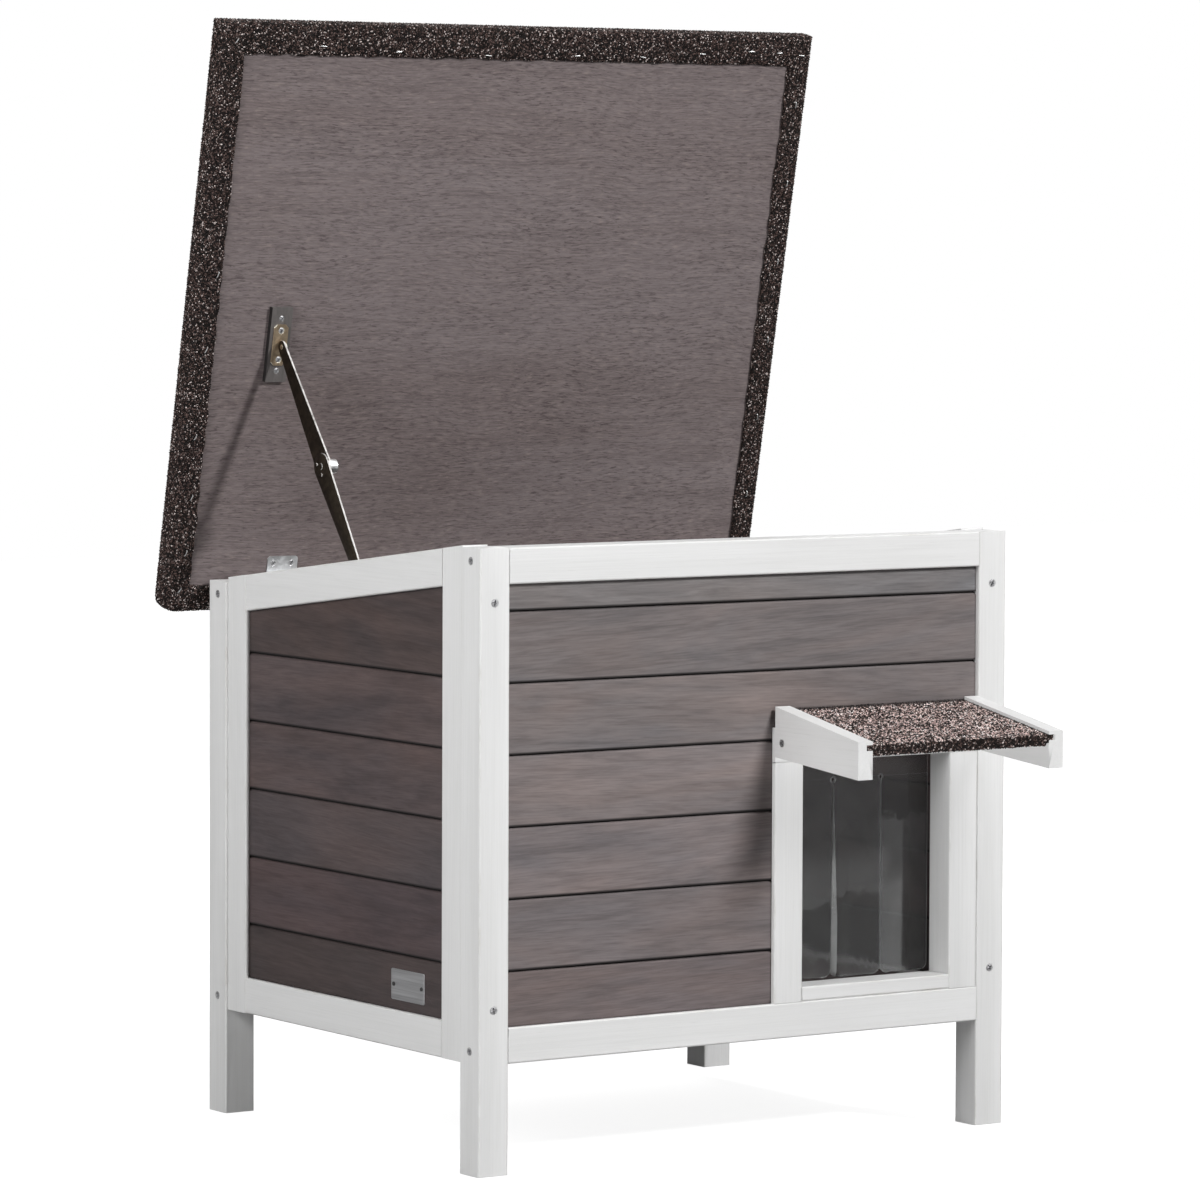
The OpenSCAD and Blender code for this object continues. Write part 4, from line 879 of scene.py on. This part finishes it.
staple_spots += [(30.0 + 90.0 * i, -20.0 + 2.0 * math.sin(3 * i), 4 * math.sin(9 * i)) for i in range(8)]
staple_places = []
for x, s, turn in staple_spots:
    side_strip = x < -20.5 or x > 670.5
    depth = felt_under - (lap if side_strip else 0.0) - 0.0006
    staple_places.append((on_lid(x / 1000, s / 1000, depth), lid_inward, math.radians(turn)))
drive("felt_staples", staple_shape, staple_places, staple_wire, "lid", "zinc_steel")
bpy.data.objects.remove(staple_shape)

# Hinges: two zinc-plated butt hinges, their leaves stamped from sheet and rolled round a pin.
zinc = bright_metal("zinc_plate", (0.72, 0.73, 0.74), 0.44, 0.10, 0.4)
dress("hinge_lid_leaves", zinc, "plated", 40.0)
dress("hinge_house_leaves", zinc, "plated", 40.0)
dress("hinge_pins", zinc, "plated", 40.0)

# Lid stay: two sheet-steel arms in a bronze wash, riveted at the knuckle under a bright knob, between
# a bronzed bracket on a stained block under the lid and another inside the left panel.
bronze = bright_metal("bronze_wash", (0.46, 0.36, 0.25), 0.42, 0.15, 0.5)
dark_bronze = bright_metal("dark_bronze_wash", (0.075, 0.058, 0.042), 0.40, 0.2, 0.9)
knob_nickel = bright_metal("knob_nickel", (0.92, 0.91, 0.90), 0.42)
block_stain = Finish("block_stain")
block_grain = block_stain.noise(block_stain.stretch((160.0, 160.0, 12.0)), detail=5.0, roughness=0.65)
block_tone = block_stain.ramp(block_grain, (0.3, (0.075, 0.068, 0.066)), (0.7, (0.125, 0.114, 0.110)))
# Painted shade: the faces turned to the left are darkened almost to black.
block_way = block_stain.node("ShaderNodeNewGeometry", {}).outputs["Normal"]
block_way = block_stain.node("ShaderNodeSeparateXYZ", {"Vector": block_way}).outputs["X"]
block_tone = block_stain.mix(
    block_stain.sum("MULTIPLY", block_stain.mark("arris"), 0.6), block_tone, (0.30, 0.28, 0.26, 1.0))
block_tone = block_stain.mix(block_stain.span(block_way, -0.2, -0.6, 0.0, 0.95), block_tone, (0.007, 0.006, 0.006, 1.0))
block_coat = block_stain.coat(Base_Color=block_tone, Roughness=block_stain.span(block_grain, 0.3, 0.7, 0.6, 0.45),
                              Normal=block_stain.bump(block_grain, 0.0006, 0.5))
dress("stay_lid_block", block_coat, "stained")
dress("stay_side_block", block_coat, "stained")
dress("stay_lid_bracket", bronze, "plated", 40.0)
dress("stay_side_bracket", bronze, "plated", 40.0)
dress("stay_upper_arm", dark_bronze, "plated", 40.0, 0.2)
dress("stay_lower_arm", dark_bronze, "plated", 40.0, 0.2)
dress("stay_knob", knob_nickel, "plated", 40.0)

# Screws: countersunk cross-recess screws through posts, rails, leaves, brackets and blocks, driven just
# below the surface, and pan heads through the flap.


def cross_outline(half, arm):
    return [(arm, half), (half, half), (half, arm), (-half, arm), (-half, half), (-arm, half),
            (-arm, -half), (-half, -half), (-half, -arm), (half, -arm), (half, -half), (arm, -half)]


def screw_shape(name, head, shank, length, crown_h):
    head_h = (head - shank) / 2 + 0.0004
    rim_r = head / 2
    sink = -0.0003
    profile = [(shank / 10, -length), (shank / 2, -length + 0.005), (shank / 2, -head_h), (rim_r * 0.97, sink - 0.0003),
               (rim_r, sink), (rim_r * 0.96, sink + 0.0001), (rim_r * 0.90, sink - 0.0009),
               (rim_r * 0.84, sink + 0.0001), (rim_r * 0.80, sink + 0.6 * crown_h)]
    form, made = rings_of(profile, 24)
    top = sink + crown_h
    cross = [form.verts.new((x, y, top)) for x, y in cross_outline(head * 0.10, head * 0.36)]
    deep = [form.verts.new((x, y, top - head * 0.26)) for x, y in cross_outline(head * 0.06, head * 0.22)]
    loops = []
    for loop in (made[-1], cross, deep):
        edges = []
        for i, vert in enumerate(loop):
            follow = loop[(i + 1) % len(loop)]
            edges.append(form.edges.get((vert, follow)) or form.edges.new((vert, follow)))
        loops.append(edges)
    bmesh.ops.triangle_fill(form, use_beauty=True, use_dissolve=False, edges=loops[0] + loops[1])
    for face in [face for face in form.faces if all(vert in cross for vert in face.verts)]:
        form.faces.remove(face)
    for i in range(12):
        j = (i + 1) % 12
        form.faces.new((cross[i], cross[j], deep[j], deep[i]))
    form.faces.new(deep)
    bmesh.ops.recalc_face_normals(form, faces=form.faces)
    for face in form.faces:
        face.smooth = True
    mesh = bpy.data.meshes.new(name)
    form.to_mesh(mesh)
    form.free()
    mesh.set_sharp_from_angle(angle=math.radians(35.0))
    return bpy.data.objects.new(name, mesh)


def house(x, y, z):
    return Vector((x / 1000 - 0.325, y / 1000 - 0.20733, z / 1000))


screw_steel = bright_metal("screw_steel", (0.56, 0.56, 0.57), 0.48, 0.15)
frame_screw = screw_shape("frame_screw", 0.009, 0.0045, 0.060, 0.0002)
small_screw = screw_shape("small_screw", 0.007, 0.0035, 0.012, 0.0003)
flap_screw = screw_shape("flap_screw", 0.008, 0.0035, 0.014, 0.0022)
hand = random.Random(9)
frame_places = []
for right in (0, 1):
    for rear in (0, 1):
        for z in (123.0, 546.1 if rear else 606.0):
            spot = house(650.0 * right, 507.5 if rear else 17.5, z)
            frame_places.append((spot, Vector((2.0 * right - 1.0, 0, 0)), hand.uniform(0, 1.57)))
        for z in (164.0, 506.0 if rear else 565.0):
            spot = house(632.5 if right else 17.5, 525.0 * rear, z)
            frame_places.append((spot, Vector((0, 2.0 * rear - 1.0, 0)), hand.uniform(0, 1.57)))
    frame_places.append((house(615.0 if right else 356.0, -11.0, 412.2), Vector((2.0 * right - 1.0, 0, 0)),
                         hand.uniform(0, 1.57)))
lid_places = []
house_places = []
for centre in (91.0, 559.0):
    for offset in (-11.0, 11.0):
        x = centre + offset
        lid_places.append((on_lid(x / 1000, 0.0179, 0.0017), lid_inward, hand.uniform(0, 1.57)))
        house_places.append((house(x, 511.1, 555.8), Vector((0, 0, 1)), hand.uniform(0, 1.57)))
for reach, low in ((28.0, -0.0026), (15.5, -0.0041)):
    for sign in (-1, 1):
        lid_places.append((on_lid(0.05575, (256.0 + sign * reach) / 1000, low), lid_inward, hand.uniform(0, 1.57)))
        plate_x = 48.0 if reach > 20 else 49.5
        house_places.append((house(plate_x, 298.0 + sign * reach, 562.2), Vector((1, 0, 0)), hand.uniform(0, 1.57)))
flap_places = [(house(394.3 + 45.6 * (i + 0.5), 36.8, 405.0), Vector((0, 1, 0)), hand.uniform(0, 1.57))
               for i in range(4)]
drive("frame_screws_driven", frame_screw, frame_places, screw_steel, "house", "zinc_steel", "frame_screws")
drive("lid_screws_driven", small_screw, lid_places, screw_steel, "lid", "zinc_steel", "lid_screws")
drive("house_screws_driven", small_screw, house_places, screw_steel, "house", "zinc_steel", "house_screws")
drive("flap_screws_driven", flap_screw, flap_places, zinc, "house", "zinc_steel", "flap_screws")
for template in (frame_screw, small_screw, flap_screw):
    bpy.data.objects.remove(template)

# Side plate: a thin brushed metal plate with rounded corners, left blank, pinned to the lowest left board.
brushed = Finish("brushed_plate")
brush = brushed.noise(brushed.stretch((900.0, 8.0, 900.0)), detail=4.0, roughness=0.6)
plate_tone = brushed.ramp(brush, (0.3, (0.40, 0.40, 0.41)), (0.7, (0.60, 0.60, 0.61)))
plate_tone = brushed.mix(brushed.sum("MULTIPLY", brushed.mark("arris"), 0.6), plate_tone, (0.85, 0.85, 0.86, 1.0))
plate_coat = brushed.coat(Base_Color=plate_tone, Metallic=1.0, Roughness=brushed.span(brush, 0.3, 0.7, 0.34, 0.5),
                          Normal=brushed.bump(brush, 0.0002, 0.4))
dress("side_plate", plate_coat, "brushed", 40.0)
dark_pin = bright_metal("dark_pin", (0.12, 0.12, 0.12), 0.5)
dress("plate_pins", dark_pin, "plated", 40.0, 0.0)
